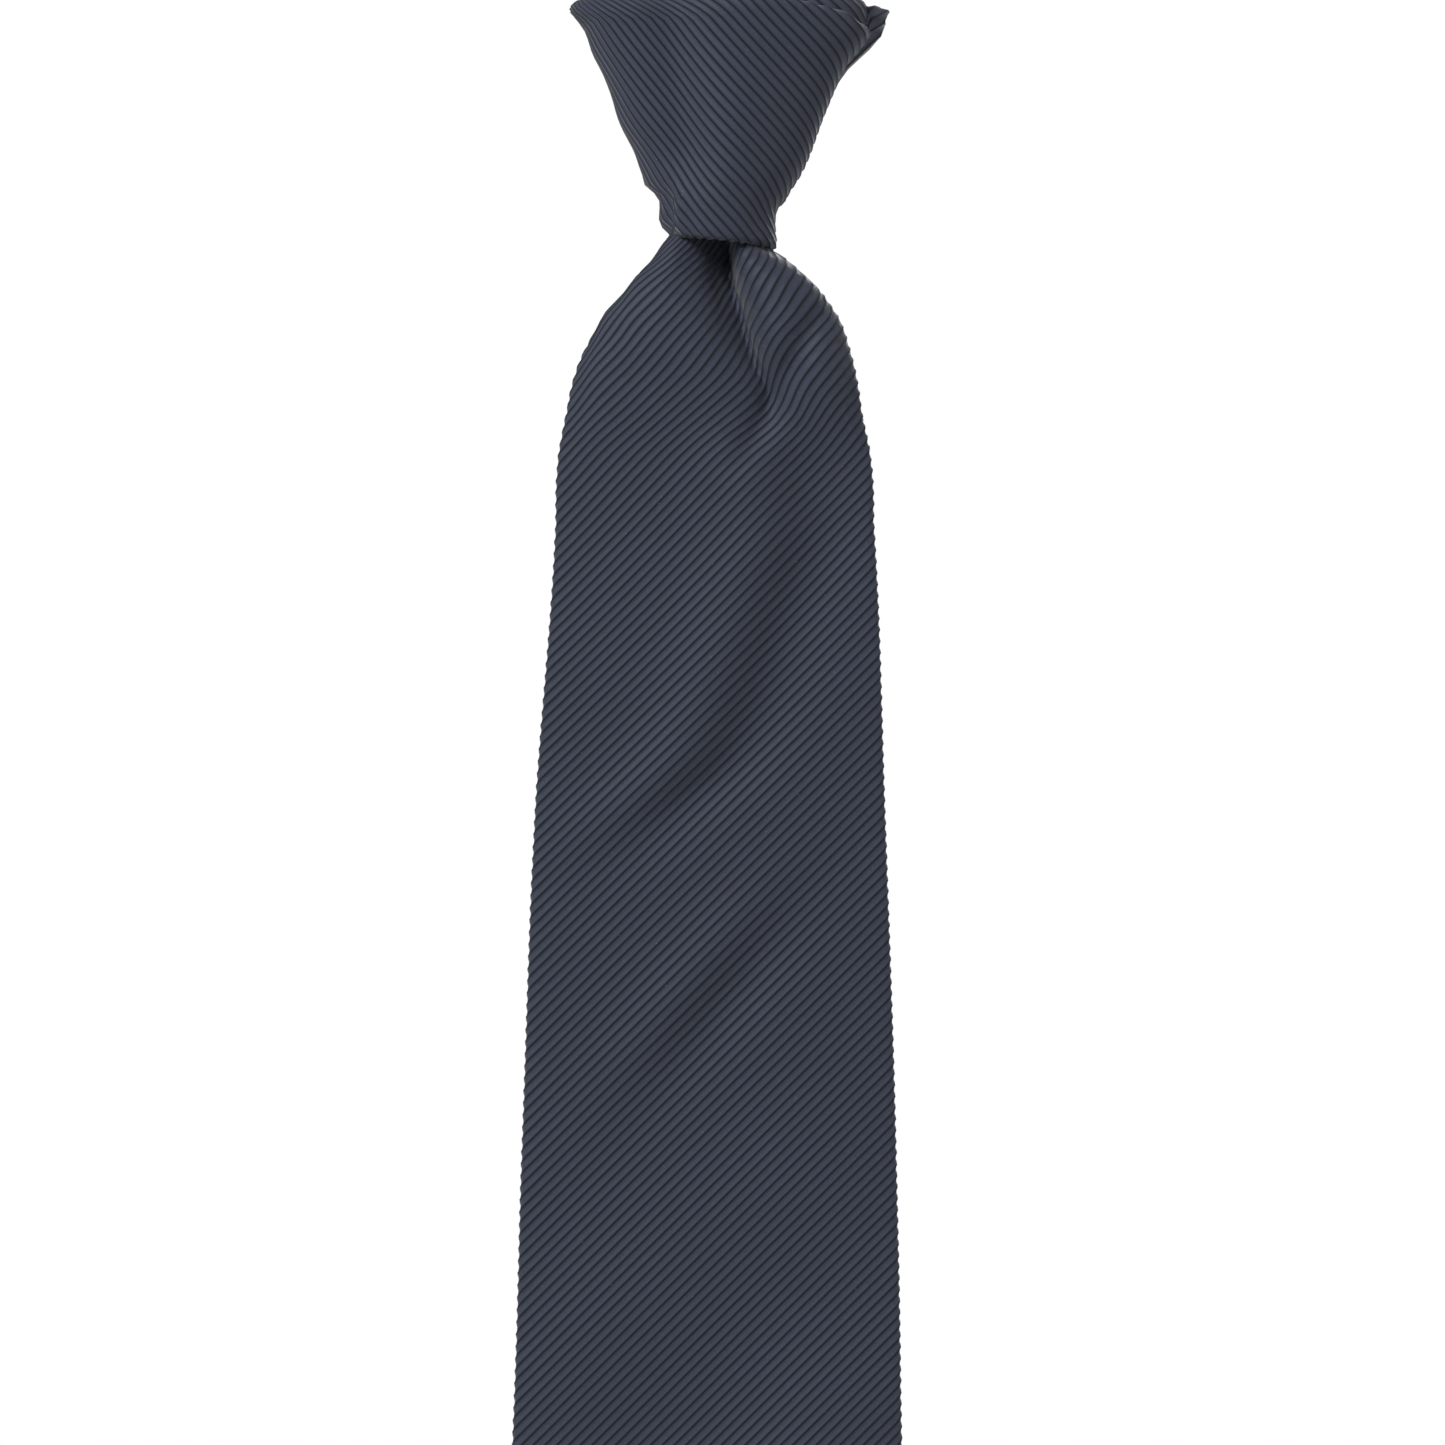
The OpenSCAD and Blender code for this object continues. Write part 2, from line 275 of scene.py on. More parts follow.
def cloth(name, outline, shape, finish, turned=-45.0, step=4.0, cuts=(), edges=None, relief=RIB_RELIEF,
          flip=False, ribbed=True, spacing=4.0):
    """A piece of cloth cut to a flat outline in millimetres and put in place by shape(flat)."""
    turned = math.radians(turned)
    c, s = math.cos(turned), math.sin(turned)
    corner = np.array(outline, float)
    v = corner @ np.array([c, s])
    u = corner @ np.array([-s, c])
    along = np.arange(v.min() - step, v.max() + 2 * step, step)
    if ribbed:
        first = math.floor(u.min() / RIB_PITCH) - 1
        last = math.ceil(u.max() / RIB_PITCH) + 1
        across = np.array([(k + f) * RIB_PITCH for k in range(first, last) for f in RIB_LINES])
    else:
        across = np.arange(u.min() - spacing, u.max() + 2 * spacing, spacing)
    mesh = flat_grid(name, outline, across, along, turned)
    trim(mesh, corner, cuts, edges)
    n = len(mesh.vertices)
    flat = np.empty(n * 3)
    mesh.vertices.foreach_get("co", flat)
    flat = flat.reshape(-1, 3)[:, :2].copy()
    place = shape(flat)
    mesh.vertices.foreach_set("co", (place * MM).ravel())
    if flip:
        mesh.flip_normals()
    mesh.update()
    rib = flat @ np.array([-s, c]) / RIB_PITCH
    run = flat @ np.array([c, s]) / RIB_PITCH
    if ribbed:
        face = np.empty(n * 3)
        mesh.vertex_normals.foreach_get("vector", face)
        height = np.interp(rib % 1.0, RIB_LINES + [1.0], RIB_HEIGHTS + [RIB_HEIGHTS[0]]) - 0.7
        place = place + face.reshape(-1, 3) * (height * relief)[:, None]
        mesh.vertices.foreach_set("co", (place * MM).ravel())
    corners = np.empty(len(mesh.loops), int)
    mesh.loops.foreach_get("vertex_index", corners)
    weave = mesh.uv_layers.new(name="weave")
    weave.data.foreach_set("uv", np.stack([rib, run], axis=1)[corners].ravel())
    mesh.polygons.foreach_set("use_smooth", np.ones(len(mesh.polygons), bool))
    mesh.update()
    piece = bpy.data.objects.new(name, mesh)
    scene.collection.objects.link(piece)
    mesh.materials.append(finish)
    piece["flat_w"] = float(corner[:, 0].max() - corner[:, 0].min()) * MM
    piece["flat_l"] = float(corner[:, 1].max() - corner[:, 1].min()) * MM
    piece["flat_area"] = float(flat_area(outline)) * MM * MM
    return piece


def deselect():
    for other in list(bpy.context.selected_objects):
        other.select_set(False)


def make_active(piece):
    deselect()
    bpy.context.view_layer.objects.active = piece
    piece.select_set(True)


def give_wall(piece, thick):
    """Gives a sheet a real thickness, behind its face."""
    wall = piece.modifiers.new("wall", "SOLIDIFY")
    wall.thickness = thick * MM
    wall.offset = -1.0
    make_active(piece)
    bpy.ops.object.modifier_apply(modifier=wall.name)


# ---- finishes

class Value:
    """A socket in a material, so that shader maths reads as sums."""

    def __init__(self, tree, socket):
        self.tree = tree
        self.socket = socket

    def node(self, kind, settings=None, inputs=None, out=0):
        made = self.tree.nodes.new(kind)
        for key, value in (settings or {}).items():
            setattr(made, key, value)
        for key, value in (inputs or {}).items():
            if isinstance(value, Value):
                self.tree.links.new(value.socket, made.inputs[key])
            else:
                made.inputs[key].default_value = value
        return Value(self.tree, made.outputs[out])

    def maths(self, operation, a, b=0.0):
        return self.node("ShaderNodeMath", {"operation": operation}, {0: a, 1: b})

    def __add__(self, other):
        return self.maths("ADD", self, other)

    def __sub__(self, other):
        return self.maths("SUBTRACT", self, other)

    def __mul__(self, other):
        return self.maths("MULTIPLY", self, other)

    def __rsub__(self, other):
        return self.maths("SUBTRACT", other, self)

    __radd__ = __add__
    __rmul__ = __mul__

    def fraction(self):
        return self.maths("FRACT", self)

    def distance(self):
        return self.maths("ABSOLUTE", self)

    def lower(self, other):
        return self.maths("MINIMUM", self, other)

    def sine(self):
        return self.maths("SINE", self)

    def step(self, low, high):
        """0 below low and 1 above high, smooth between."""
        return self.node("ShaderNodeMapRange", {"interpolation_type": "SMOOTHSTEP"},
                         {"Value": self, "From Min": low, "From Max": high})

    def mixed(self, a, b):
        """Colour a where this is 0, colour b where it is 1."""
        return self.node("ShaderNodeMix", {"data_type": "RGBA"}, {0: self, 6: a, 7: b}, 2)

    def tinted(self, colour):
        """This colour multiplied by another."""
        return self.node("ShaderNodeMix", {"data_type": "RGBA", "blend_type": "MULTIPLY"},
                         {0: 1.0, 6: self, 7: colour}, 2)

    def noise(self, scale, detail=2.0, roughness=0.5):
        return self.node("ShaderNodeTexNoise", {}, {"Vector": self, "Scale": scale, "Detail": detail,
                                                    "Roughness": roughness})

    def stretched(self, scale, turn=0.0):
        return self.node("ShaderNodeMapping", {}, {"Vector": self, "Scale": scale,
                                                   "Rotation": (0.0, 0.0, turn)})

    def part(self, which):
        return self.node("ShaderNodeSeparateXYZ", {}, {0: self}, which)


def finish_of(name, sheen=0.0, specular=0.35):
    """A new finish, its shader, and a value to build on."""
    material = bpy.data.materials.new(name)
    material.use_nodes = True
    tree = material.node_tree
    shader = tree.nodes["Principled BSDF"]
    shader.inputs["Sheen Weight"].default_value = sheen
    shader.inputs["Sheen Roughness"].default_value = 0.45
    shader.inputs["Specular IOR Level"].default_value = specular
    return material, shader, Value(tree, None)


def wire(tool, shader, colour, roughness=None, height=None, deep=0.0001):
    """Joins a finish's colour, roughness and relief to its shader."""
    tool.tree.links.new(colour.socket, shader.inputs["Base Color"])
    if roughness is not None:
        tool.tree.links.new(roughness.socket, shader.inputs["Roughness"])
    if height is not None:
        bump = tool.node("ShaderNodeBump", {}, {"Strength": 1.0, "Distance": deep, "Height": height})
        tool.tree.links.new(bump.socket, shader.inputs["Normal"])


def grey(v):
    return (v, v, v, 1.0)


def darker(colour, share):
    return [c * share for c in colour[:3]] + [1.0]


def ribbed_finish(name, crest, painted_groove_shade):
    """Ribbed cloth: rounded ribs with painted highlight on their crests, painted shade on their flanks and in
    the furrows between them, and fine warp threads laid across the ribs.
    """
    material, shader, tool = finish_of(name, sheen=0.2, specular=0.25)
    weave = tool.node("ShaderNodeUVMap", {"uv_map": "weave"})
    solid = tool.node("ShaderNodeTexCoord", {}, {}, 3)
    across = weave.part(0)
    rib = across.fraction()
    edge = rib.lower(1.0 - rib)
    # painted shade: mask of the furrows between ribs, where the cloth is darkened as if shaded (also raises
    # roughness there)
    painted_furrow_shade = 1.0 - edge.step(0.02, 0.24)
    # painted highlight: mask that keeps the rib crests lighter and darkens their flanks, as light falls on
    # rounded ribs
    painted_crest_light = edge.step(0.16, 0.5)
    warp = weave.stretched((1.6, 11.5, 1.0)).noise(1.0, 1.0)
    yarn = weave.stretched((3.5, 0.9, 1.0)).noise(1.0, 2.0)
    cloud = solid.noise(34.0, 3.0)
    lint = weave.node("ShaderNodeTexVoronoi", {"feature": "F1"},
                      {"Vector": weave.stretched((0.3, 0.75, 1.0)), "Scale": 1.0})
    speck = (1.0 - lint.step(0.02, 0.035)) * 0.5
    # painted shade on the rib flanks, painted highlight on the crests
    body = painted_crest_light.mixed(darker(crest, 0.84), crest)
    body = warp.step(0.32, 0.68).mixed(body.tinted(grey(0.74)), body)
    body = yarn.step(0.35, 0.7).mixed(body, body.tinted((1.12, 1.02, 1.05, 1.0)))
    body = cloud.step(0.3, 0.7).mixed(body.tinted(grey(0.93)), body)
    # paints shade into the furrows with the dark furrow colour
    body = painted_furrow_shade.mixed(body, painted_groove_shade)
    body = speck.mixed(body, grey(0.16))
    height = warp * 0.5 + yarn * 0.35
    wire(tool, shader, body, 0.66 + painted_furrow_shade * 0.24 - painted_crest_light * 0.06 + warp * 0.08, height, 0.00007)
    return material


def satin_finish(name, colour):
    """Plain satin lining with a faint diagonal grain."""
    material, shader, tool = finish_of(name, sheen=0.1, specular=0.5)
    weave = tool.node("ShaderNodeUVMap", {"uv_map": "weave"})
    grain = weave.stretched((9.0, 1.2, 1.0), 0.5).noise(1.0, 2.0)
    floats = (weave.part(0) * 18.0 + weave.part(1) * 18.0).sine() * 0.5 + 0.5
    cloud = weave.noise(0.35, 2.0)
    dark = darker(colour, 0.7)
    body = (grain * 0.6 + floats * 0.3 + cloud * 0.2).step(0.25, 0.8).mixed(dark, colour)
    wire(tool, shader, body, 0.34 + grain * 0.14, grain * 0.6 + floats * 0.4, 0.00004)
    return material


def wool_finish(name, colour):
    """Brushed wool interlining, with loose fibres."""
    material, shader, tool = finish_of(name, sheen=0.4, specular=0.15)
    solid = tool.node("ShaderNodeTexCoord", {}, {}, 3)
    fuzz = solid.noise(2600.0, 4.0, 0.7)
    felt = solid.noise(260.0, 3.0)
    dark = darker(colour, 0.72)
    body = (fuzz * 0.6 + felt * 0.4).step(0.3, 0.7).mixed(dark, colour)
    wire(tool, shader, body, 0.86 + fuzz * 0.1, fuzz, 0.0002)
    return material


def thread_finish(name, colour):
    """Two-ply sewing thread, its plies seen as slanting bands."""
    material, shader, tool = finish_of(name, sheen=0.1, specular=0.45)
    solid = tool.node("ShaderNodeTexCoord", {}, {}, 3)
    twist = ((solid.part(0) + solid.part(1) * 0.6 + solid.part(2)) * 7200.0).sine() * 0.5 + 0.5
    fibre = solid.noise(5200.0, 2.0)
    dark = darker(colour, 0.45)
    body = (twist * 0.7 + fibre * 0.3).step(0.1, 0.75).mixed(dark, colour)
    wire(tool, shader, body, 0.5 + fibre * 0.2, twist, 0.00012)
    return material


def label_finish(name, ground, border):
    """Blank woven label: a taffeta ground with a paler woven border, and nothing on it."""
    material, shader, tool = finish_of(name, sheen=0.15, specular=0.4)
    weave = tool.node("ShaderNodeUVMap", {"uv_map": "weave"})
    across = weave.part(0) * RIB_PITCH
    down = weave.part(1) * RIB_PITCH
    weft = (down * 26.0).sine() * 0.5 + 0.5
    warp = (across * 21.0).sine() * 0.5 + 0.5
    rim = (label_w / 2 - across.distance()).lower(label_h / 2 - down.distance())
    band = rim.step(1.0, 1.15) * (1.0 - rim.step(1.9, 2.05))
    cloud = weave.noise(2.0, 2.0)
    body = band.mixed(ground, border)
    body = (weft * 0.5 + warp * 0.3 + cloud * 0.3).step(0.2, 0.9).mixed(body.tinted(grey(0.68)), body)
    wire(tool, shader, body, 0.5 + weft * 0.12, weft * 0.6 + warp * 0.4 + band * 0.8, 0.00006)
    return material


label_w = label_high[0] - label_low[0]
label_h = label_high[2] - label_low[2]
NAVY_CREST = (0.0300, 0.0385, 0.0625, 1.0)
# dark colour painted into the rib furrows as their shade
NAVY_PAINTED_GROOVE_SHADE = (0.0030, 0.0050, 0.0098, 1.0)
ribbed = ribbed_finish("ribbed_navy_cloth", NAVY_CREST, NAVY_PAINTED_GROOVE_SHADE)
satin = satin_finish("navy_satin_lining", (0.020, 0.026, 0.050, 1.0))
wool = wool_finish("wool_interlining", (0.56, 0.53, 0.46, 1.0))
thread = thread_finish("navy_thread", (0.030, 0.038, 0.065, 1.0))
label_weave = label_finish("blank_label_weave", (0.028, 0.034, 0.058, 1.0), (0.12, 0.13, 0.17, 1.0))

# ---- front blade

FOLD_R = 1.1
TUCK_R = 0.35
SEAM_LAP = 0.42
BLADE_TOP_W = 55.6
blade_corner = BLADE_LEN - BLADE_W / 2

LEFT_EDGE = [(50, -28.7), (56, -29.0), (101, -32.3), (154, -34.4), (216, -36.4), (300, -39.5), (398.5, -43.0),
             (440, -43.4)]
RIGHT_EDGE = [(50, 28.9), (56, 29.3), (101, 30.9), (154, 32.7), (216, 34.0), (300, 36.8), (398.5, 40.0),
              (440, 40.4)]

# The long slanting wave's line down the blade: drop, width.
LONG_WAVE = [(20, 14.5), (37, 11), (52, 13.5), (62, 10.7), (73, 7.1), (83, 3.6), (93, -1.8), (103, -12),
             (120, -30)]

# Places of the gathered cloth below the knot, at shares of the way from the left fold to the
# crease and from the crease to the right fold: drop, crease's place in the flat cloth, (x, y) pairs.
LEFT_SHARES = [0.0, 0.17, 0.35, 0.55, 0.75, 0.9, 1.0]
RIGHT_SHARES = [0.1, 0.25, 0.45, 0.65, 0.82, 1.0]
GATHERS = [
    (-7, 6.5,
     [(-3.0, 5.8), (-5.0, 4.0), (-5.6, 1.8), (-4.0, 0.0), (-1.2, 1.6), (0.9, 4.4), (2.3, 5.6),
      (2.7, 2.4), (3.7, 0.2), (5.8, 0.2), (7.4, 2.2), (7.8, 4.0), (4.6, 5.8)]),
    (-2, 7.0,
     [(-3.8, 5.8), (-7.2, 4.2), (-7.8, 2.4), (-5.6, 0.3), (-1.8, 1.8), (0.8, 4.9), (2.6, 6.4),
      (2.9, 2.8), (4.0, 0.0), (6.6, -0.2), (8.6, 2.4), (9.0, 4.4), (5.4, 6.0)]),
    (0, 7.2,
     [(-4.8, 5.8), (-8.6, 4.0), (-9.3, 1.6), (-6.4, -0.8), (-2.2, 1.5), (0.8, 5.2), (2.8, 6.8),
      (3.0, 2.9), (4.1, -1.1), (6.9, -1.2), (9.0, 2.2), (9.9, 4.6), (6.4, 6.2)]),
    (2.5, 7.4,
     [(-6.8, 5.8), (-10.2, 3.6), (-10.9, 1.2), (-7.5, -1.6), (-2.4, 0.9), (0.9, 5.0), (3.0, 6.7),
      (3.3, 2.9), (4.6, -1.6), (8.0, -2.6), (11.3, -0.8), (13.3, 2.2), (10.4, 5.6)]),
    (6, 7.7,
     [(-10.6, 5.6), (-13.3, 3.4), (-14.1, 0.7), (-8.8, -2.1), (-2.6, -0.1), (1.2, 4.2), (3.4, 6.0),
      (3.8, 2.6), (5.6, -2.0), (9.2, -3.7), (13.2, -2.9), (16.8, -0.2), (16.7, 4.4)]),
    (12, 8.0,
     [(-18.6, 4.4), (-19.4, 1.6), (-16.0, -1.2), (-8.8, -3.1), (-1.8, -1.8), (2.4, 1.9), (5.0, 3.9),
      (5.6, 1.7), (8.0, -3.0), (12.0, -4.5), (16.2, -3.7), (19.9, -1.6), (22.5, 2.6)]),
    (18, 8.3,
     [(-23.2, 2.6), (-21.0, -0.2), (-15.4, -2.3), (-8.2, -3.3), (-0.9, -2.6), (4.0, 0.4), (6.6, 2.4),
      (7.3, 0.2), (9.6, -3.0), (13.2, -4.4), (17.6, -4.0), (21.2, -2.4), (24.9, 1.8)]),
    (24, 8.8,
     [(-25.7, 2.0), (-21.8, -0.8), (-14.9, -2.2), (-7.0, -2.8), (0.8, -2.4), (6.3, -0.5), (9.0, 0.9),
      (10.0, -0.4), (12.0, -2.2), (15.4, -2.9), (19.4, -3.4), (22.9, -2.4), (26.3, 1.0)]),
    (30, 9.5,
     [(-26.9, 1.4), (-21.8, -0.9), (-14.6, -1.8), (-6.8, -2.1), (1.1, -1.9), (7.2, -0.9), (10.8, -0.3),
      (12.2, -0.8), (14.6, -1.4), (17.6, -1.9), (20.8, -2.1), (23.8, -1.4), (27.1, 0.9)]),
    (38, 10.5,
     [(-27.8, 0.9), (-22.4, -0.6), (-15.2, -1.2), (-7.4, -1.4), (0.6, -1.3), (6.9, -1.1), (11.0, -1.0),
      (12.7, -1.0), (15.3, -1.1), (18.7, -1.2), (22.0, -1.1), (24.9, -0.6), (28.0, 0.9)]),
]


def blade_half(drop):
    """Half the flat width of the front blade's face at a drop."""
    return (BLADE_TOP_W + (BLADE_W - BLADE_TOP_W) * np.clip(drop, 0, blade_corner) / blade_corner) / 2


def blade_waves(x, drop):
    """Soft waves of the hanging cloth, positive away from the face."""
    lean = 0.756 * x + 0.655 * drop
    long_wave = smooth_curve(drop, *zip(*LONG_WAVE))
    past = 0.85 * (x - long_wave) / 7.5
    y = 4.2 * past * np.exp(-past ** 2) * ease(drop, 28, 42) * (1 - ease(drop, 92, 116))
    past = (0.82 * (x + 0.5) + 0.573 * (drop - 133.5)) / 6.5
    y += 3.0 * past * np.exp(-past ** 2) * hump(drop, 135, 17)
    y += 0.7 * np.cos(2 * math.pi * (lean - 92.0) / 44.0) * ease(drop, 150, 190) * (1 - ease(drop, 260, 340))
    y += 0.45 * np.cos(2 * math.pi * (drop - 0.5 * x - 300) / 78.0) * ease(drop, 240, 320)
    return y


gather_drops = np.array([g[0] for g in GATHERS], float)
gather_crease = np.array([g[1] for g in GATHERS], float)
gather_places = np.array([g[2] for g in GATHERS], float)


def blade_face(flat):
    """The front blade's face: width and drop in flat cloth to a place in the air."""
    s = flat[:, 0]
    t = flat[:, 1]
    half = blade_half(t)
    low = np.clip(t, gather_drops[0], gather_drops[-1])
    crease = smooth_curve(low, gather_drops, gather_crease)
    xs = smooth_curve(low, gather_drops, gather_places[:, :, 0])
    ys = smooth_curve(low, gather_drops, gather_places[:, :, 1])
    knots = np.concatenate(
        [
            -half[:, None] + np.array(LEFT_SHARES) * (crease + half)[:, None],
            crease[:, None] + np.array(RIGHT_SHARES) * (half - crease)[:, None],
        ],
        axis=1,
    )
    clipped = np.clip(s, knots[:, 0], knots[:, -1])
    i = np.clip((clipped[:, None] >= knots[:, 1:-1]).sum(axis=1), 0, knots.shape[1] - 2)
    row = np.arange(len(s))
    wide = np.diff(knots, axis=1)

    def along(values):
        rise = np.diff(values, axis=1) / wide
        slope = np.empty_like(values)
        before, after = wide[:, :-1], wide[:, 1:]
        slope[:, 1:-1] = (rise[:, :-1] * after + rise[:, 1:] * before) / (after + before)
        slope[:, 0] = rise[:, 0]
        slope[:, -1] = rise[:, -1]
        h = wide[row, i]
        u = (clipped - knots[row, i]) / h
        return smooth_way(u, values[row, i], values[row, i + 1], h * slope[row, i], h * slope[row, i + 1])

    gathered_x = along(xs)
    gathered_y = along(ys)
    share = s / half
    left = smooth_curve(t, *zip(*LEFT_EDGE))
    right = smooth_curve(t, *zip(*RIGHT_EDGE))
    open_x = (left + right) / 2 + share * (right - left) / 2
    open_y = -1.2 * (1 - ease(t, 40, 110)) + (1.9 - 1.0 * ease(t, 40, 110)) * np.abs(share) ** 3
    flatter = ease(t, 29, 46)
    x = gathered_x + (open_x - gathered_x) * flatter
    y = gathered_y + (open_y - gathered_y) * flatter
    valley = smooth_curve(t, [8, 12.3, 24.7, 35.7, 44], [21.5, 18.9, 12.2, 6.8, 3.0])
    deep = ease(t, 7, 15) * (1 - ease(t, 34, 44))
    y = y + 1.7 * deep * np.exp(-((x - valley) / 3.0) ** 2)
    y = y + blade_waves(x, t)
    return np.stack([x, BLADE_FRONT_Y + y, MOUTH_Z - t], axis=1)


def blade_thickness(flat):
    """Distance from the face to the back of the folded blade."""
    share = np.clip(np.abs(flat[:, 0]) / blade_half(flat[:, 1]), 0, 1)
    full = ease(flat[:, 1], 24, 70) * (1 - 0.75 * ease(flat[:, 1], blade_corner - 20, BLADE_LEN))
    return 2 * FOLD_R + (BLADE_T - 2 * FOLD_R) * (1 - share ** 2) * full


def blade_lines(half_top, half_wide, length, corner):
    """A blade's lowest side corner and tip, and the outward normals of its side fold and of its hem."""
    a = np.array([half_top, 0.0])
    b = np.array([half_wide, corner])
    tip = np.array([0.0, length])
    side_out = line_normal(a, b)
    side_out = side_out * np.sign(side_out[0])
    hem_out = line_normal(b, tip)
    hem_out = hem_out * np.sign(hem_out[1])
    return b, tip, side_out, hem_out


def blade_outline(top, half_top, half_wide, length, corner, open_back, reach):
    """Outline and cut lines of a blade's cloth, cut as one piece and folded to the back."""
    b, tip, side_out, hem_out = blade_lines(half_top, half_wide, length, corner)
    start = np.array([half_top + (half_wide - half_top) * (top / corner), top])
    bar = length - open_back
    inner = np.array([half_wide - HEM_W, corner - HEM_W * (math.sqrt(2) - 1)])
    point = np.array([0.0, length - HEM_W * math.sqrt(2)])
    allowance = (math.pi - 2) * FOLD_R
    flap = [unfold(p, b, side_out, FOLD_R) for p in ((-reach, top), (-reach, bar - reach), (0.0, bar), inner)]
    hem = [unfold(p, b, hem_out, FOLD_R) for p in (inner, point, (0.0, length - 0.01))]
    right = [start] + flap + [b + side_out * allowance, b, b + hem_out * allowance] + hem + [tip]
    outline = [tuple(p) for p in right] + [(-p[0], p[1]) for p in right[-2::-1]]
    across = ACROSS - 2 * (ACROSS @ side_out) * side_out
    cuts = []
    for share in (0.0, 0.22, 0.4, 0.6, 0.78, 1.0):
        shift = (share * math.pi - 1.0) * FOLD_R
        cuts += [((b + side_out * shift) * (side, 1), side_out * (side, 1)) for side in SIDES]
    for share in (0.0, 0.5, 1.0):
        line = unfold((TUCK_R - SEAM_LAP - share * math.pi * TUCK_R, 0.0), b, side_out, FOLD_R)
        cuts += [(line * (side, 1), across * (side, 1)) for side in SIDES]
    return outline, cuts


def seam_tuck(q, depth, turn, behind, out):
    """Tucks in the raw edges that meet along the back seam."""
    tucked, tucked_depth, _ = fold(q, depth, turn, SEAM_LAP * out, out, TUCK_R)
    seam = behind & (q @ -out < TUCK_R - SEAM_LAP)
    return np.where(seam[:, None], tucked, q), np.where(seam, tucked_depth, depth)


def folded_blade(face, thickness, half_top, half_wide, length, corner):
    """Shape of a blade's cloth: face, side folds, hems at the point, and edges turned in at the back."""
    b, _, side_out, hem_out = blade_lines(half_top, half_wide, length, corner)

    def shape(flat):
        mirror = np.stack([np.where(flat[:, 0] >= 0, 1.0, -1.0), np.ones(len(flat))], axis=1)
        q = flat * mirror
        depth = np.zeros(len(q))
        turn = np.ones(len(q))
        as_hem = (q - b) @ hem_out > (q - b) @ side_out
        q1, depth1, turn1 = fold(q, depth, turn, b, side_out, FOLD_R)
        q2, depth2, turn2 = fold(q, depth, turn, b, hem_out, FOLD_R)
        q = np.where(as_hem[:, None], q2, q1)
        turn = np.where(as_hem, turn2, turn1)
        q, depth = seam_tuck(q, np.where(as_hem, depth2, depth1), turn, (turn < 0) & ~as_hem, -ACROSS)
        real = q * mirror
        extra = (thickness(real) - 2 * FOLD_R) * (turn < 0) * ease(-((q - b) @ side_out), 0.0, 4.0)
        return off_surface(face, real, depth + extra)

    return shape


outline, cuts = blade_outline(-6.0, BLADE_TOP_W / 2, BLADE_W / 2, BLADE_LEN, blade_corner, OPEN_BACK, 3.0)
cuts += [(DOWN * t, DOWN) for t in np.arange(-4.0, 46.0, 1.6)]
front_blade = cloth(
    "front_blade_cloth", outline,
    folded_blade(blade_face, blade_thickness, BLADE_TOP_W / 2, BLADE_W / 2, BLADE_LEN, blade_corner),
    ribbed, cuts=cuts, flip=True,
)

# ---- linings of the front blade

def open_back_outline(half_wide, length, corner, open_back, over):
    """The arrow-shaped open back with a margin that runs under the folded cloth."""
    bar = length - open_back
    side = half_wide - HEM_W + over
    return [
        (0.0, bar - 1.6 * over),
        (side, corner - HEM_W * (math.sqrt(2) - 1) - 0.5 * over),
        (side, corner + 0.5 * over - 4.0),
        (0.0, length - HEM_W * math.sqrt(2) + 1.3 * over),
        (-side, corner + 0.5 * over - 4.0),
        (-side, corner - HEM_W * (math.sqrt(2) - 1) - 0.5 * over),
    ]


def lining_in(name, face, outline, depth, finish, thick=0.0):
    """A flat sheet that lies inside a folded blade."""
    def shape(flat):
        return off_surface(face, flat, np.full(len(flat), depth))

    piece = cloth(name, outline, shape, finish, step=3.5, spacing=3.5, ribbed=False, flip=True)
    if thick:
        give_wall(piece, thick)
    return piece


def inner_outline(top, half, half_low, corner, length, margin):
    """An interlining's outline, a margin inside its blade's folds."""
    return [
        (half - margin, top),
        (half_low - margin, corner),
        (0.0, length - 1.4 * margin),
        (margin - half_low, corner),
        (margin - half, top),
    ]


front_interlining = lining_in(
    "front_blade_interlining_felt", blade_face,
    inner_outline(46.0, 29.0, BLADE_W / 2, blade_corner, BLADE_LEN, 2.8), 1.0, wool, thick=0.5)
front_tipping_sheet = lining_in(
    "front_tipping_satin", blade_face,
    open_back_outline(BLADE_W / 2, BLADE_LEN, blade_corner, OPEN_BACK, 5.0), 1.75, satin)

# ---- tail

TAIL_TOP_W = 35.0
tail_corner = TAIL_LEN - TAIL_W / 2


def tail_half(drop):
    """Half the flat width of the tail's face at a drop."""
    return (TAIL_TOP_W + (TAIL_W - TAIL_TOP_W) * np.clip(drop, 0, tail_corner) / tail_corner) / 2


def tail_face(flat):
    """The tail's face, gathered where it leaves the knot."""
    s = flat[:, 0]
    t = flat[:, 1]
    share = s / tail_half(t)
    gather = 1 - ease(t, -6, 62)
    narrow = 1 - 0.68 * gather
    x = s * narrow
    y = 1.2 * gather * np.cos(2.6 * math.pi * share + 0.5) + 3.5 * gather + 0.5 * np.abs(share) ** 3
    y = y + 0.3 * np.cos(2 * math.pi * (t + 0.6 * s) / 64.0) * ease(t, 50, 90)
    return np.stack([x, TAIL_FRONT_Y + y, MOUTH_Z - t], axis=1)


def tail_thickness(flat):
    """Distance from the tail's face to its back."""
    share = np.clip(np.abs(flat[:, 0]) / tail_half(flat[:, 1]), 0, 1)
    full = ease(flat[:, 1], 24, 80) * (1 - 0.75 * ease(flat[:, 1], tail_corner - 14, TAIL_LEN))
    return 2 * FOLD_R + (TAIL_T - 2 * FOLD_R) * (1 - share ** 2) * full


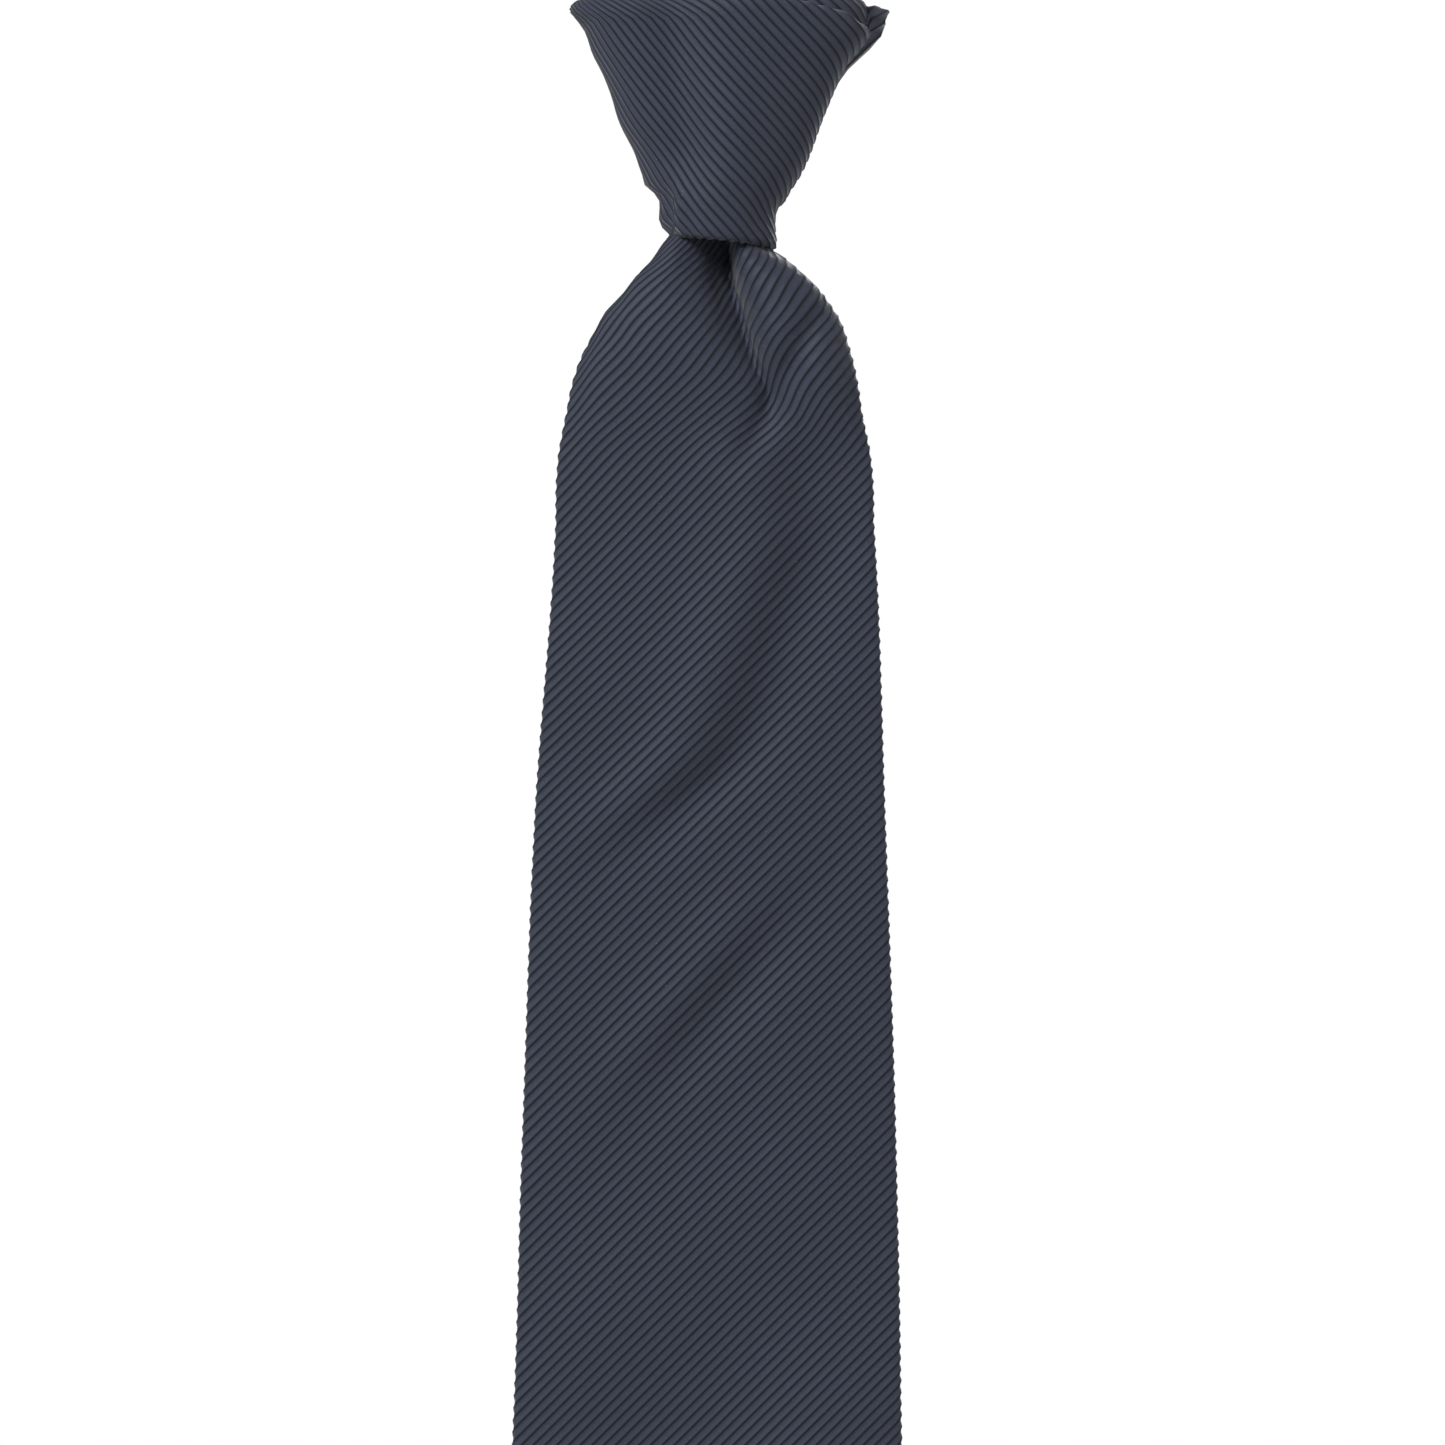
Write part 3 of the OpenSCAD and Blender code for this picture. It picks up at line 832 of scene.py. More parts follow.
outline, cuts = blade_outline(-4.0, TAIL_TOP_W / 2, TAIL_W / 2, TAIL_LEN, tail_corner, TAIL_OPEN_BACK, 3.0)
cuts += [(DOWN * t, DOWN) for t in np.arange(-2.6, 64.0, 2.2)]
tail_cloth = cloth(
    "tail_cloth", outline,
    folded_blade(tail_face, tail_thickness, TAIL_TOP_W / 2, TAIL_W / 2, TAIL_LEN, tail_corner),
    ribbed, cuts=cuts, flip=True,
)
tail_interlining_felt = lining_in(
    "tail_interlining_felt", tail_face,
    inner_outline(60.0, 18.0, TAIL_W / 2, tail_corner, TAIL_LEN, 2.4), 0.8, wool, thick=0.5)
tail_tipping_satin = lining_in(
    "tail_tipping_satin", tail_face,
    open_back_outline(TAIL_W / 2, TAIL_LEN, tail_corner, TAIL_OPEN_BACK, 4.0), 1.7, satin)

# ---- knot

KNOT_LEFT = [(0, -7.4), (2.7, -8.6), (4.3, -9.7), (8.3, -9.8), (9.5, -10.3), (10.8, -12.1), (13.3, -13.1),
             (17.1, -14.4), (22.5, -17.1), (28.3, -18.9), (31.7, -20.3), (35, -22), (39.8, -23.8),
             (41, -24.7), (43, -26.6), (46, -27.2), (50, -27.2)]
KNOT_RIGHT = [(0, 11.6), (3.4, 11.2), (5.4, 11.2), (7.2, 11.7), (8.5, 13), (9.9, 13.7), (12, 15.1),
              (24.3, 20.2), (29.3, 22.3), (32.6, 23.9), (34.7, 25.6), (36.9, 27.4), (38.5, 28.4), (40, 28.6),
              (46, 28.8), (50, 28.8)]
PLAIN_LEFT = [(0, -8.6), (10, -11.6), (17, -14.5), (28, -18.9), (35, -22), (41, -24.7), (50, -27)]
PLAIN_RIGHT = [(0, 11.4), (8, 13.0), (12, 15.0), (24, 20.2), (33, 24.2), (38, 27.6), (50, 28.6)]
APEX = 37.5
STRETCH = 1.03


def knot_section(angle, height):
    """Centre, half width and half depth of the knot at a height above its mouth."""
    side = np.abs(np.cos(angle)) ** 3
    low = np.asarray(height, float)
    left = smooth_curve(low, *zip(*PLAIN_LEFT))
    right = smooth_curve(low, *zip(*PLAIN_RIGHT))
    left = left + (smooth_curve(low, *zip(*KNOT_LEFT)) - left) * side
    right = right + (smooth_curve(low, *zip(*KNOT_RIGHT)) - right) * side
    deep = 10.4 + 2.8 * np.clip(low, 0, 45) / 45.0
    return (left + right) / 2, (right - left) / 2, deep


def knot_base(angle, height):
    """A point of the knot's outside and its level outward direction; 90 degrees is the front."""
    middle, wide, deep = knot_section(angle, height)
    x = middle + wide * np.cos(angle)
    y = KNOT_Y - deep * np.sin(angle)
    out = unit(np.stack([np.cos(angle) / wide, -np.sin(angle) / deep], axis=-1))
    return x, y, out


girth_angles = np.linspace(math.radians(-200.0), math.radians(380.0), 1600)
girth_heights = np.linspace(-6.0, 52.0, 59)
grid_a, grid_h = np.meshgrid(girth_angles, girth_heights)
grid_x, grid_y, _ = knot_base(grid_a, np.clip(grid_h, 0, 48))
pieces_of_girth = np.hypot(np.diff(grid_x, axis=1), np.diff(grid_y, axis=1))
girth = -np.concatenate([np.zeros((len(girth_heights), 1)), np.cumsum(pieces_of_girth, axis=1)], axis=1)
front_column = int(np.argmin(np.abs(girth_angles - math.radians(90.0))))
girth = girth - girth[:, front_column:front_column + 1]
girth = girth + grid_x[:, front_column:front_column + 1]


def girth_at(angle, height):
    """Length round the knot from its middle line, positive to the right."""
    a = np.clip((angle - girth_angles[0]) / (girth_angles[1] - girth_angles[0]), 0, len(girth_angles) - 1.001)
    spacing = girth_heights[1] - girth_heights[0]
    h = np.clip((height - girth_heights[0]) / spacing, 0, len(girth_heights) - 1.001)
    i, j = a.astype(int), h.astype(int)
    fa, fh = a - i, h - j
    low = girth[j, i] * (1 - fa) + girth[j, i + 1] * fa
    high = girth[j + 1, i] * (1 - fa) + girth[j + 1, i + 1] * fa
    return low * (1 - fh) + high * fh


def angle_at(length, height):
    low = np.full(length.shape, girth_angles[0])
    high = np.full(length.shape, girth_angles[-1])
    for _ in range(26):
        middle = (low + high) / 2
        right_of = girth_at(middle, height) > length
        low = np.where(right_of, middle, low)
        high = np.where(right_of, high, middle)
    return (low + high) / 2


def flat_of(angle, height):
    """Flat place of a point of the knot's cloth, opened out like a cone."""
    angle = np.asarray(angle, float)
    height = np.asarray(height, float)
    far = (height + APEX) * STRETCH
    turn = girth_at(angle, height) / far
    return np.stack([far * np.sin(turn), far * np.cos(turn)], axis=-1)


def wrap(name, start, end, inset, low, high, low_r, high_r, reach, turned, step=2.0, bulge=None, pull=0.0):
    """One turn of the tie round the knot, with its lower and upper folds rolled inwards.

    low and high give the folds' heights at an angle, and inset the depth under the outermost turn."""
    def edge(angles, top):
        x, _, _ = knot_base(angles, np.full(angles.shape, 40.0 if top else 2.0))
        if top:
            r = high_r(x)
            return high(x, angles) - r + math.pi * r / 2 + reach
        return low(x, angles) + low_r - math.pi * low_r - 2.0

    upper = np.radians(np.linspace(start, end, 40))
    lower = upper[::-1]
    outline = np.concatenate([flat_of(upper, edge(upper, True)), flat_of(lower, edge(lower, False))])
    ends = []
    for degrees, sign in ((start, -1.0), (end, 1.0)):
        a = math.radians(degrees)
        p = flat_of(np.array([a]), np.array([20.0]))[0]
        q = flat_of(np.array([a]), np.array([30.0]))[0]
        out = line_normal(p, q)
        inner = flat_of(np.array([a + sign * 0.05]), np.array([25.0]))[0]
        if (inner - p) @ out > 0:
            out = -out
        ends.append((p - out * 5.0, out))

    def shape(flat):
        depth = np.zeros(len(flat))
        turn = np.ones(len(flat))
        q = flat
        for at, out in ends:
            q, depth, turn = fold(q, depth, turn, at, out, 0.9)
        far = np.hypot(q[:, 0], q[:, 1])
        along = far / STRETCH - APEX
        length = np.arctan2(q[:, 0], q[:, 1]) * far
        length = length - pull * np.maximum(along - 40.6, 0) * (1 - ease(length, -8, 6))
        angle = angle_at(length, np.clip(along, -5.0, 51.0))
        x2, _, _ = knot_base(angle, np.full(len(angle), 2.0))
        x40, _, _ = knot_base(angle, np.full(len(angle), 40.0))
        foot = low(x2, angle) + low_r
        r = high_r(x40)
        head = high(x40, angle) - r
        under = np.clip((foot - along) / low_r, 0, math.pi)
        rise = np.maximum(foot - along - math.pi * low_r, 0)
        over = np.clip((along - head) / r, 0, math.pi / 2)
        level = np.maximum(along - head - r * math.pi / 2, 0)
        height = np.clip(along, foot, head) - low_r * np.sin(under) + rise + r * np.sin(over) - 0.12 * level
        inward = low_r * (1 - np.cos(under)) + r * (1 - np.cos(over)) + level
        x, y, out = knot_base(angle, np.clip(height, 0, 46))
        inward = inward + depth + inset(angle)
        if bulge is not None:
            inward = inward - bulge(x, height, angle)
        return np.stack([x - out[:, 0] * inward, y - out[:, 1] * inward, MOUTH_Z + height], axis=1)

    cuts = []
    for at, out in ends:
        cuts += [(at + out * (f * math.pi - 1.0) * 0.9, out) for f in (0.0, 0.25, 0.5, 0.75, 1.0)]
    return cloth(name, [tuple(p) for p in outline], shape, turned=turned, step=step, cuts=cuts, edges=[],
                 finish=ribbed)


def front_low(x, angle):
    return np.clip(0.65 - 0.09 * x, -0.5, 1.5)


def front_high(x, angle):
    return smooth_curve(x, [-30, 2, 8, 13, 16, 19, 22.3, 24.5, 27, 28.3, 30],
                        [44.7, 44.9, 44.8, 44.1, 43.6, 42.9, 42.3, 41.6, 40.3, 39.6, 39.3])


def front_high_r(x):
    return smooth_curve(x, [-30, 0, 6, 12, 30], [3.2, 3.2, 2.6, 1.3, 0.9])


def front_bulge(x, height, angle):
    """The pinch at the knot's lower left, and the fullness of its front."""
    front = np.clip(np.sin(angle), 0, 1)
    y = 0.9 * hump(x, 4.0, 7.0) * hump(height, 18.0, 16.0) * front
    y = y - 2.4 * hump(x + 0.1 * (height - 15.0), -5.5, 5.4) * ease(height, 6.0, 18.0) * front
    y = y + 0.9 * hump(x + 0.28 * (height - 15.0), -13.0, 3.6) * ease(height, 14.0, 22.0) * front
    y = y + 0.8 * hump(x, -6.2, 1.0) * ease(height, 0.5, 3.5) * (1 - ease(height, 8.5, 11.5))
    y = y - 0.7 * hump(x, -8.0, 0.9) * ease(height, 1.0, 3.5) * (1 - ease(height, 8.0, 10.0))
    y = y + 0.35 * hump(x, -9.3, 0.5) * ease(height, 1.0, 3.0) * (1 - ease(height, 8.0, 9.5))
    y = y - 0.5 * hump(x - 0.45 * (height - 4.0), 8.0, 2.2) * (1 - ease(height, 9.0, 14.0)) * front
    return y


knot_front = wrap(
    "knot_front_turn_cloth", 212.0, -32.0,
    lambda angle: 0.15 + 0.0 * angle,
    front_low, front_high, 0.85, front_high_r, 7.0, turned=-50.0, step=1.6, bulge=front_bulge, pull=0.9,
)
knot_back = wrap(
    "knot_back_turn_cloth", -10.0, -170.0,
    lambda angle: -1.1 * ease(-np.sin(angle), 0.1, 0.6) + 1.4 * (1 - ease(-np.sin(angle), 0.0, 0.35)),
    lambda x, a: 2.2 + 0.0 * x, lambda x, a: 37.0 - 0.12 * x, 1.2, lambda x: 1.5 + 0.0 * x, 3.0,
    turned=48.0, step=2.0,
)
knot_left = wrap(
    "knot_left_turn_cloth", 265.0, 100.0,
    lambda angle: 1.9 + 1.7 * ease(np.sin(angle), 0.6, 0.95),
    lambda x, a: 3.2 + 0.0 * x, lambda x, a: 43.2 + 0.02 * x, 1.1, lambda x: 1.5 + 0.0 * x, 3.5,
    turned=42.0, step=2.4,
)
knot_final = wrap(
    "knot_final_pass_cloth", 168.0, -26.0,
    lambda angle: 3.0 + 1.7 * ease(np.sin(angle), 0.6, 0.95) - 1.9 * ease(np.cos(angle), 0.5, 0.95),
    lambda x, a: 8.0 + 0.0 * x, lambda x, a: 47.6 - 0.06 * np.maximum(x, 0) ** 1.1,
    1.1, lambda x: 2.6 + 0.0 * x, 9.0,
    turned=-52.0, step=2.2,
)


def flare(x, height, angle):
    """The turn's upper right corner stands out from behind the front."""
    back = -np.sin(angle)
    return 0.31 * np.maximum(height - 27.5, 0) * ease(back, 0.03, 0.22) * (1 - ease(back, 0.35, 0.85))


knot_right = wrap(
    "knot_right_turn_cloth", 17.0, -84.0,
    lambda angle: 0.6 + 0.0 * angle,
    lambda x, a: 3.2 + 0.0 * x, lambda x, a: 46.8 - 2.9 * ease(x, 22.0, 27.5),
    1.1, lambda x: 0.9 + 0.0 * x, 3.5,
    turned=46.0, step=2.0, bulge=flare,
)

# ---- neck band

BAND_HALF = math.radians(145.0)
BAND_R = NECK_R + BAND_T
RING_HALF = BAND_R * BAND_HALF
LEG_LEN = 46.0
KNOT_TOP = knot_high[2]


def tilted(points):
    c, s = math.cos(NECK_TILT), math.sin(NECK_TILT)
    x, y, z = points[:, 0], points[:, 1], points[:, 2]
    return np.stack([x, c * y - s * z, s * y + c * z], axis=1)


def ring_place(along, across, depth):
    angle = math.pi / 2 - along / BAND_R
    radius = BAND_R - depth
    return tilted(np.stack([radius * np.cos(angle), radius * np.sin(angle), across], axis=1))


def band_place(along, across, depth):
    """A point of the neck band: along from the nape, across its width, and depth from its outside."""
    side = np.where(along >= 0, 1.0, -1.0)
    run = np.abs(along)
    on_ring = np.minimum(run, RING_HALF)
    ring = ring_place(side * on_ring, across, depth)
    k = np.clip((run - RING_HALF) / LEG_LEN, 0.0, 1.3)
    e = 0.5
    before = ring_place(side * (RING_HALF - e), across, depth)
    at_end = ring_place(side * RING_HALF, across, depth)
    leave = (at_end - before) / e * 40.0
    share = (1 - across / (BAND_W / 2)) / 2
    foot = np.stack([
        side * (2.5 + 15.0 * share),
        -77.6 + 0.8 * depth + 1.6 * share * 0,
        np.full(len(k), KNOT_TOP + 0.4) + 0.4 * share,
    ], axis=1)
    arrive = np.array([0.0, 0.0, -34.0])
    u = np.minimum(k, 1.0)[:, None]
    leg = smooth_way(u, at_end, foot, leave, arrive)
    leg[:, 2] -= np.maximum(k - 1.0, 0) * 34.0
    return np.where((run > RING_HALF)[:, None], leg, ring)


def band_piece(name, start, end, lean_start, lean_end, turned):
    """A length of the folded neck band, cut on a slant where it is seamed to the next."""
    half = BAND_W / 2
    r = BAND_T / 2 * 0.86
    reach = half * 2 + math.pi * r - 2 * r + 2.5
    w = reach
    outline = [
        (start - lean_start * w, -w), (end - lean_end * w, -w),
        (end + lean_end * w, w), (start + lean_start * w, w),
    ]
    folds = []
    for place, lean, sign in ((start, lean_start, -1.0), (end, lean_end, 1.0)):
        if lean:
            out = line_normal((place - lean * w, -w), (place + lean * w, w))
            out = out * np.sign(out[0]) * sign
            folds.append((np.array([place, 0.0]) - out * 0.55, out))

    def shape(flat):
        dent = np.zeros(len(flat))
        for at, out in folds:
            dent = dent + 0.35 * ease((flat - at) @ out, -0.5, 0.45)
        depth = np.zeros(len(flat))
        turn = np.ones(len(flat))
        side = np.where(flat[:, 1] >= 0, 1.0, -1.0)
        m = np.stack([flat[:, 0], flat[:, 1] * side], axis=1)
        m, depth, turn = fold(m, depth, turn, (0.0, half), (0.0, 1.0), r)
        m2, depth2, _ = fold(m, depth, turn, (0.0, -SEAM_LAP), (0.0, -1.0), TUCK_R)
        seam = (turn < 0) & (m[:, 1] < TUCK_R - SEAM_LAP)
        m = np.where(seam[:, None], m2, m)
        depth = np.where(seam, depth2, depth)
        extra = np.where(turn < 0, (BAND_T - 2 * r) * ease(half - m[:, 1], 0, 6), 0.0)
        depth = depth + extra + dent * turn * 0.8
        return band_place(m[:, 0], m[:, 1] * side, depth)

    cuts = []
    for s in (1, -1):
        for f in (0.0, 0.25, 0.5, 0.75, 1.0):
            cuts.append((np.array([0.0, s * (half + (f * math.pi - 1.0) * r)]), np.array([0.0, 1.0])))
            seam = TUCK_R - SEAM_LAP - f * math.pi * TUCK_R
            cuts.append((np.array([0.0, s * (2 * half - seam + (math.pi - 2) * r)]), np.array([0.0, 1.0])))
    for at, out in folds:
        cuts += [(at + out * f, out) for f in (-0.45, 0.0, 0.4)]
    return cloth(name, outline, shape, turned=turned, step=4.0, cuts=cuts, finish=ribbed)


SEAM_AT = BAND_R * math.radians(80.0)
band_back = band_piece("neck_piece_cloth", -SEAM_AT, SEAM_AT, 1.0, -1.0, 45.0)
band_right = band_piece("tail_side_band_cloth", SEAM_AT, RING_HALF + LEG_LEN * 1.18, -1.0, 0.0, -45.0)
band_left = band_piece("blade_side_band_cloth", -RING_HALF - LEG_LEN * 1.18, -SEAM_AT, 0.0, 1.0, -45.0)


def band_felt():
    def shape(flat):
        return band_place(flat[:, 0], flat[:, 1], np.full(len(flat), 1.3))

    half = BAND_W / 2 - 2.4
    edge = RING_HALF - 2.0
    piece = cloth("neck_band_interlining_felt", [(-edge, -half), (edge, -half), (edge, half), (-edge, half)],
                  shape, wool, turned=0.0, ribbed=False)
    give_wall(piece, FELT_T)
    return piece


neck_felt = band_felt()

# ---- thread


def thread_piece(name, runs, radius, sides=3):
    """Sewing thread laid along runs of points in millimetres, as one mesh piece."""
    curve = bpy.data.curves.new(name, "CURVE")
    curve.dimensions = "3D"
    curve.bevel_depth = radius * MM
    curve.bevel_resolution = sides
    curve.resolution_u = 5
    curve.use_fill_caps = True
    for run in runs:
        spline = curve.splines.new("BEZIER")
        spline.bezier_points.add(len(run) - 1)
        for point, place in zip(spline.bezier_points, run):
            point.co = Vector(place) * MM
            point.handle_left_type = "AUTO"
            point.handle_right_type = "AUTO"
    holder = bpy.data.objects.new(name, curve)
    scene.collection.objects.link(holder)
    make_active(holder)
    bpy.ops.object.convert(target="MESH")
    piece = bpy.context.object
    piece.data.materials.append(thread)
    piece.data.polygons.foreach_set("use_smooth", np.ones(len(piece.data.polygons), bool))
    return piece


def back_place(face, thickness, x, drop, proud=0.0):
    """A point on the back of a folded blade, proud of it by a little."""
    flat = np.array([[x, drop]])
    half = blade_half if face is blade_face else tail_half
    p = off_surface(face, flat, thickness(flat) + proud)
    return p[0]


def seam_stitches(face, thickness, first, last):
    """Slip stitches down the back seam: short slanting floats that dip into the cloth."""
    runs = []
    drop = first
    k = 0
    while drop < last - 6.0:
        lean = 0.45 if k % 2 else -0.45
        run = []
        for f, proud in ((0.0, -0.4), (0.12, 0.18), (0.5, 0.38), (0.88, 0.18), (1.0, -0.4)):
            run.append(back_place(face, thickness, lean * (1 - 2 * f), drop + 5.0 * f, proud))
        runs.append(run)
        drop += 13.0
        k += 1
    return runs


def loose_loop(face, thickness, drop, radius):
    """The loop of spare thread that hangs below the bar tack."""
    run = [back_place(face, thickness, 0.2, drop - 1.0, 0.2)]
    for degrees in range(75, -255, -30):
        a = math.radians(degrees)
        p = back_place(face, thickness, 0.0, drop, 0.0)
        high = p[2] - radius * 1.25 + radius * math.sin(a)
        run.append((p[0] + radius * 0.8 * math.cos(a), p[1] + 0.5, high))
    run.append(back_place(face, thickness, -0.2, drop - 1.0, 0.2))
    return run


def tack_runs(face, thickness, drop):
    """Close zigzag of thread over two laid threads, across the seam above the open back."""
    runs = []
    for lift in (0.32, -0.32):
        runs.append([
            Vector(back_place(face, thickness, x, drop, 0.35 if abs(x) < 4.4 else -0.2))
            + Vector((0, 0, lift))
            for x in (-4.5, -4.0, -2.0, 0.0, 2.0, 4.0, 4.5)
        ])
    zigzag = []
    n = 34
    for i in range(n + 1):
        x = -4.2 + 8.4 * i / n
        p = Vector(back_place(face, thickness, x, drop, 0.72))
        zigzag.append(p + Vector((0, 0, 0.85 if i % 2 else -0.85)))
    runs.append(zigzag)
    return runs


front_bar = BLADE_LEN - OPEN_BACK - 2.0
tail_bar = TAIL_LEN - TAIL_OPEN_BACK - 2.0
front_tack = thread_piece("front_bar_tack_thread", tack_runs(blade_face, blade_thickness, front_bar), 0.3)
tail_tack = thread_piece("tail_bar_tack_thread", tack_runs(tail_face, tail_thickness, tail_bar), 0.3)
front_slip = thread_piece(
    "front_slip_stitch_thread",
    seam_stitches(blade_face, blade_thickness, 44.0, front_bar)
    + [loose_loop(blade_face, blade_thickness, front_bar + 1.0, 4.0)], 0.25)
tail_slip = thread_piece(
    "tail_slip_stitch_thread",
    seam_stitches(tail_face, tail_thickness, 92.0, tail_bar)
    + [loose_loop(tail_face, tail_thickness, tail_bar + 1.0, 4.0)], 0.25)


def seam_threads():
    """The slanting machine seams of the neck band, seen as fine stitches in their furrows."""
    runs = []
    for place, lean in ((SEAM_AT, -1.0), (-SEAM_AT, 1.0)):
        half = BAND_W / 2 - 1.2
        n = 15
        for i in range(n):
            run = []
            for f, depth in ((0.1, 0.5), (0.3, 0.12), (0.7, 0.12), (0.9, 0.5)):
                across = -half + 2 * half * (i + f) / n
                p = band_place(np.array([place + lean * across]), np.array([across]), np.array([depth]))[0]
                run.append(p)
            runs.append(run)
    return runs


piecing = thread_piece("piecing_seam_thread", seam_threads(), 0.16, sides=2)

# ---- keeper and label

KEEPER_H = keeper_high[2] - keeper_low[2]
KEEPER_DROP = MOUTH_Z - keeper_high[2]
KEEPER_HALF = (keeper_high[0] - keeper_low[0]) / 2
KEEPER_BACK = keeper_high[1]
LABEL_DROP = MOUTH_Z - label_high[2]


def keeper_path():
    """The keeper's run in plan, from one sewn end round behind the tail to the other."""
    foot = 4.0
    wall = KEEPER_HALF - foot
    mid = KEEPER_DROP + KEEPER_H / 2
    front_r = back_place(blade_face, blade_thickness, wall, mid, 0.55)[1]
    end_r = back_place(blade_face, blade_thickness, KEEPER_HALF, mid, 0.55)[1]
    front_l = back_place(blade_face, blade_thickness, -wall, mid, 0.55)[1]
    end_l = back_place(blade_face, blade_thickness, -KEEPER_HALF, mid, 0.55)[1]
    centre = (back_place(blade_face, blade_thickness, 20.0, mid)[0] - 20.0
              + back_place(blade_face, blade_thickness, -20.0, mid)[0] + 20.0) / 2 * 0.0
    back = KEEPER_BACK - 0.3
    corners = [
        (-KEEPER_HALF, end_l), (-wall - 0.8, front_l), (-wall - 0.1, front_l + 0.9),
        (-wall + 0.2, front_l + 2.6),
        (-wall + 0.9, back - 1.4), (-wall + 2.6, back - 0.2), (-14.0, back + 0.2), (0.0, back + 0.1),
        (14.0, back + 0.2), (wall - 2.6, back - 0.2), (wall - 0.9, back - 1.4), (wall - 0.2, front_r + 2.6),
        (wall + 0.1, front_r + 0.9), (wall + 0.8, front_r), (KEEPER_HALF, end_r),
    ]
    return np.array(corners) + np.array([centre, 0.0])


keeper_points = keeper_path()
keeper_run = np.concatenate([[0.0], np.cumsum(np.hypot(*np.diff(keeper_points, axis=0).T))])
KEEPER_RUN = keeper_run[-1]


def keeper_face(flat):
    s = np.clip(flat[:, 0], 0, KEEPER_RUN)
    x = smooth_curve(s, keeper_run, keeper_points[:, 0])
    y = smooth_curve(s, keeper_run, keeper_points[:, 1])
    sag = 0.25 * np.sin(math.pi * s / KEEPER_RUN) * np.cos(flat[:, 1] / KEEPER_H * math.pi)
    return np.stack([x, y + sag, MOUTH_Z - KEEPER_DROP - flat[:, 1]], axis=1)


def keeper_shape(flat):
    side = np.where(flat[:, 1] >= KEEPER_H / 2, 1.0, -1.0)
    r = 0.42
    q = flat.copy()
    q[:, 1] = (q[:, 1] - KEEPER_H / 2) * side
    q, depth, turn = fold(q, np.zeros(len(q)), np.ones(len(q)), (0.0, KEEPER_H / 2 - 0.2), (0.0, 1.0), r)
    q[:, 1] = q[:, 1] * side + KEEPER_H / 2
    return off_surface(keeper_face, q, -depth)


margin = 4.5
outline = [(0.0, -margin), (KEEPER_RUN, -margin), (KEEPER_RUN, KEEPER_H + margin), (0.0, KEEPER_H + margin)]
keeper_cuts = []
for s, edge in ((1.0, KEEPER_H - 0.2), (-1.0, 0.2)):
    for f in (0.0, 0.3, 0.6, 1.0):
        keeper_cuts.append((np.array([0.0, edge + s * (f * math.pi - 1.0) * 0.42]), np.array([0.0, 1.0])))
for place in np.concatenate([np.arange(3.0, 16.0, 0.7), KEEPER_RUN - np.arange(3.0, 16.0, 0.7)]):
    keeper_cuts.append((np.array([place, 0.0]), np.array([1.0, 0.0])))
keeper = cloth("keeper_loop_cloth", outline, keeper_shape, turned=-45.0, step=2.5, cuts=keeper_cuts,
               relief=0.22, finish=ribbed)


def keeper_stitch_runs():
    runs = []
    for side in (-1, 1):
        for k in range(9):
            drop = 1.4 + (KEEPER_H - 2.8) * k / 9
            x = side * (KEEPER_HALF - 1.3)
            run = []
            for f, proud in ((0.0, -0.2), (0.2, 0.42), (0.8, 0.42), (1.0, -0.2)):
                s = KEEPER_RUN - 1.3 if side > 0 else 1.3
                p = keeper_face(np.array([[s, drop + 1.5 * f]]))[0]
                run.append((p[0], p[1] + proud, p[2]))
            runs.append(run)
    return runs


keeper_thread = thread_piece("keeper_stitch_thread", keeper_stitch_runs(), 0.2, sides=2)


def label_face(flat):
    x = flat[:, 0]
    drop = LABEL_DROP + label_h / 2 + flat[:, 1]
    place = np.stack([x, drop], axis=1)
    p = off_surface(blade_face, place, blade_thickness(place) + 0.62)
    p[:, 1] += 0.25 * (1 - (x / (label_w / 2)) ** 2) * np.cos(flat[:, 1] * 0.2)
    return p


def label_shape(flat):
    side = np.where(flat[:, 1] >= 0, 1.0, -1.0)
    q = np.stack([flat[:, 0], flat[:, 1] * side], axis=1)
    q, depth, turn = fold(q, np.zeros(len(q)), np.ones(len(q)), (0.0, label_h / 2), (0.0, 1.0), 0.22)
    q[:, 1] *= side
    p = label_face(q)
    p[:, 1] -= depth
    return p


outline = [(-label_w / 2, -label_h / 2 - 3.2), (label_w / 2, -label_h / 2 - 3.2),
           (label_w / 2, label_h / 2 + 3.2), (-label_w / 2, label_h / 2 + 3.2)]
label_cuts = []
for s in (1.0, -1.0):
    for f in (0.0, 0.33, 0.66, 1.0):
        label_cuts.append((DOWN * s * (label_h / 2 + (f * math.pi - 1.0) * 0.22), DOWN))
label = cloth("blank_label_tape", outline, label_shape, turned=0.0, step=1.0, spacing=1.0, cuts=label_cuts,
              ribbed=False, flip=True, finish=label_weave)


def label_stitch_runs():
    runs = []
    for side in (-1, 1):
        n = 11
        for k in range(n):
            run = []
            for f, proud in ((0.08, -0.3), (0.25, 0.14), (0.75, 0.14), (0.92, -0.3)):
                y = -label_h / 2 + 0.8 + (label_h - 1.6) * (k + f) / n
                p = label_face(np.array([[side * (label_w / 2 - 1.2), y]]))[0]
                run.append((p[0], p[1] + proud, p[2]))
            runs.append(run)
    return runs


label_thread = thread_piece("label_stitch_thread", label_stitch_runs(), 0.16, sides=2)
def attach(piece, nodes, holds):
    """Hides the parts that a piece replaces and parents it to its body; a piece held by two bodies is left
    unparented, with its transform baked.
    """
    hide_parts(*nodes)
    if isinstance(holds, str):
        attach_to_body(piece, holds)
    else:
        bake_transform(piece)


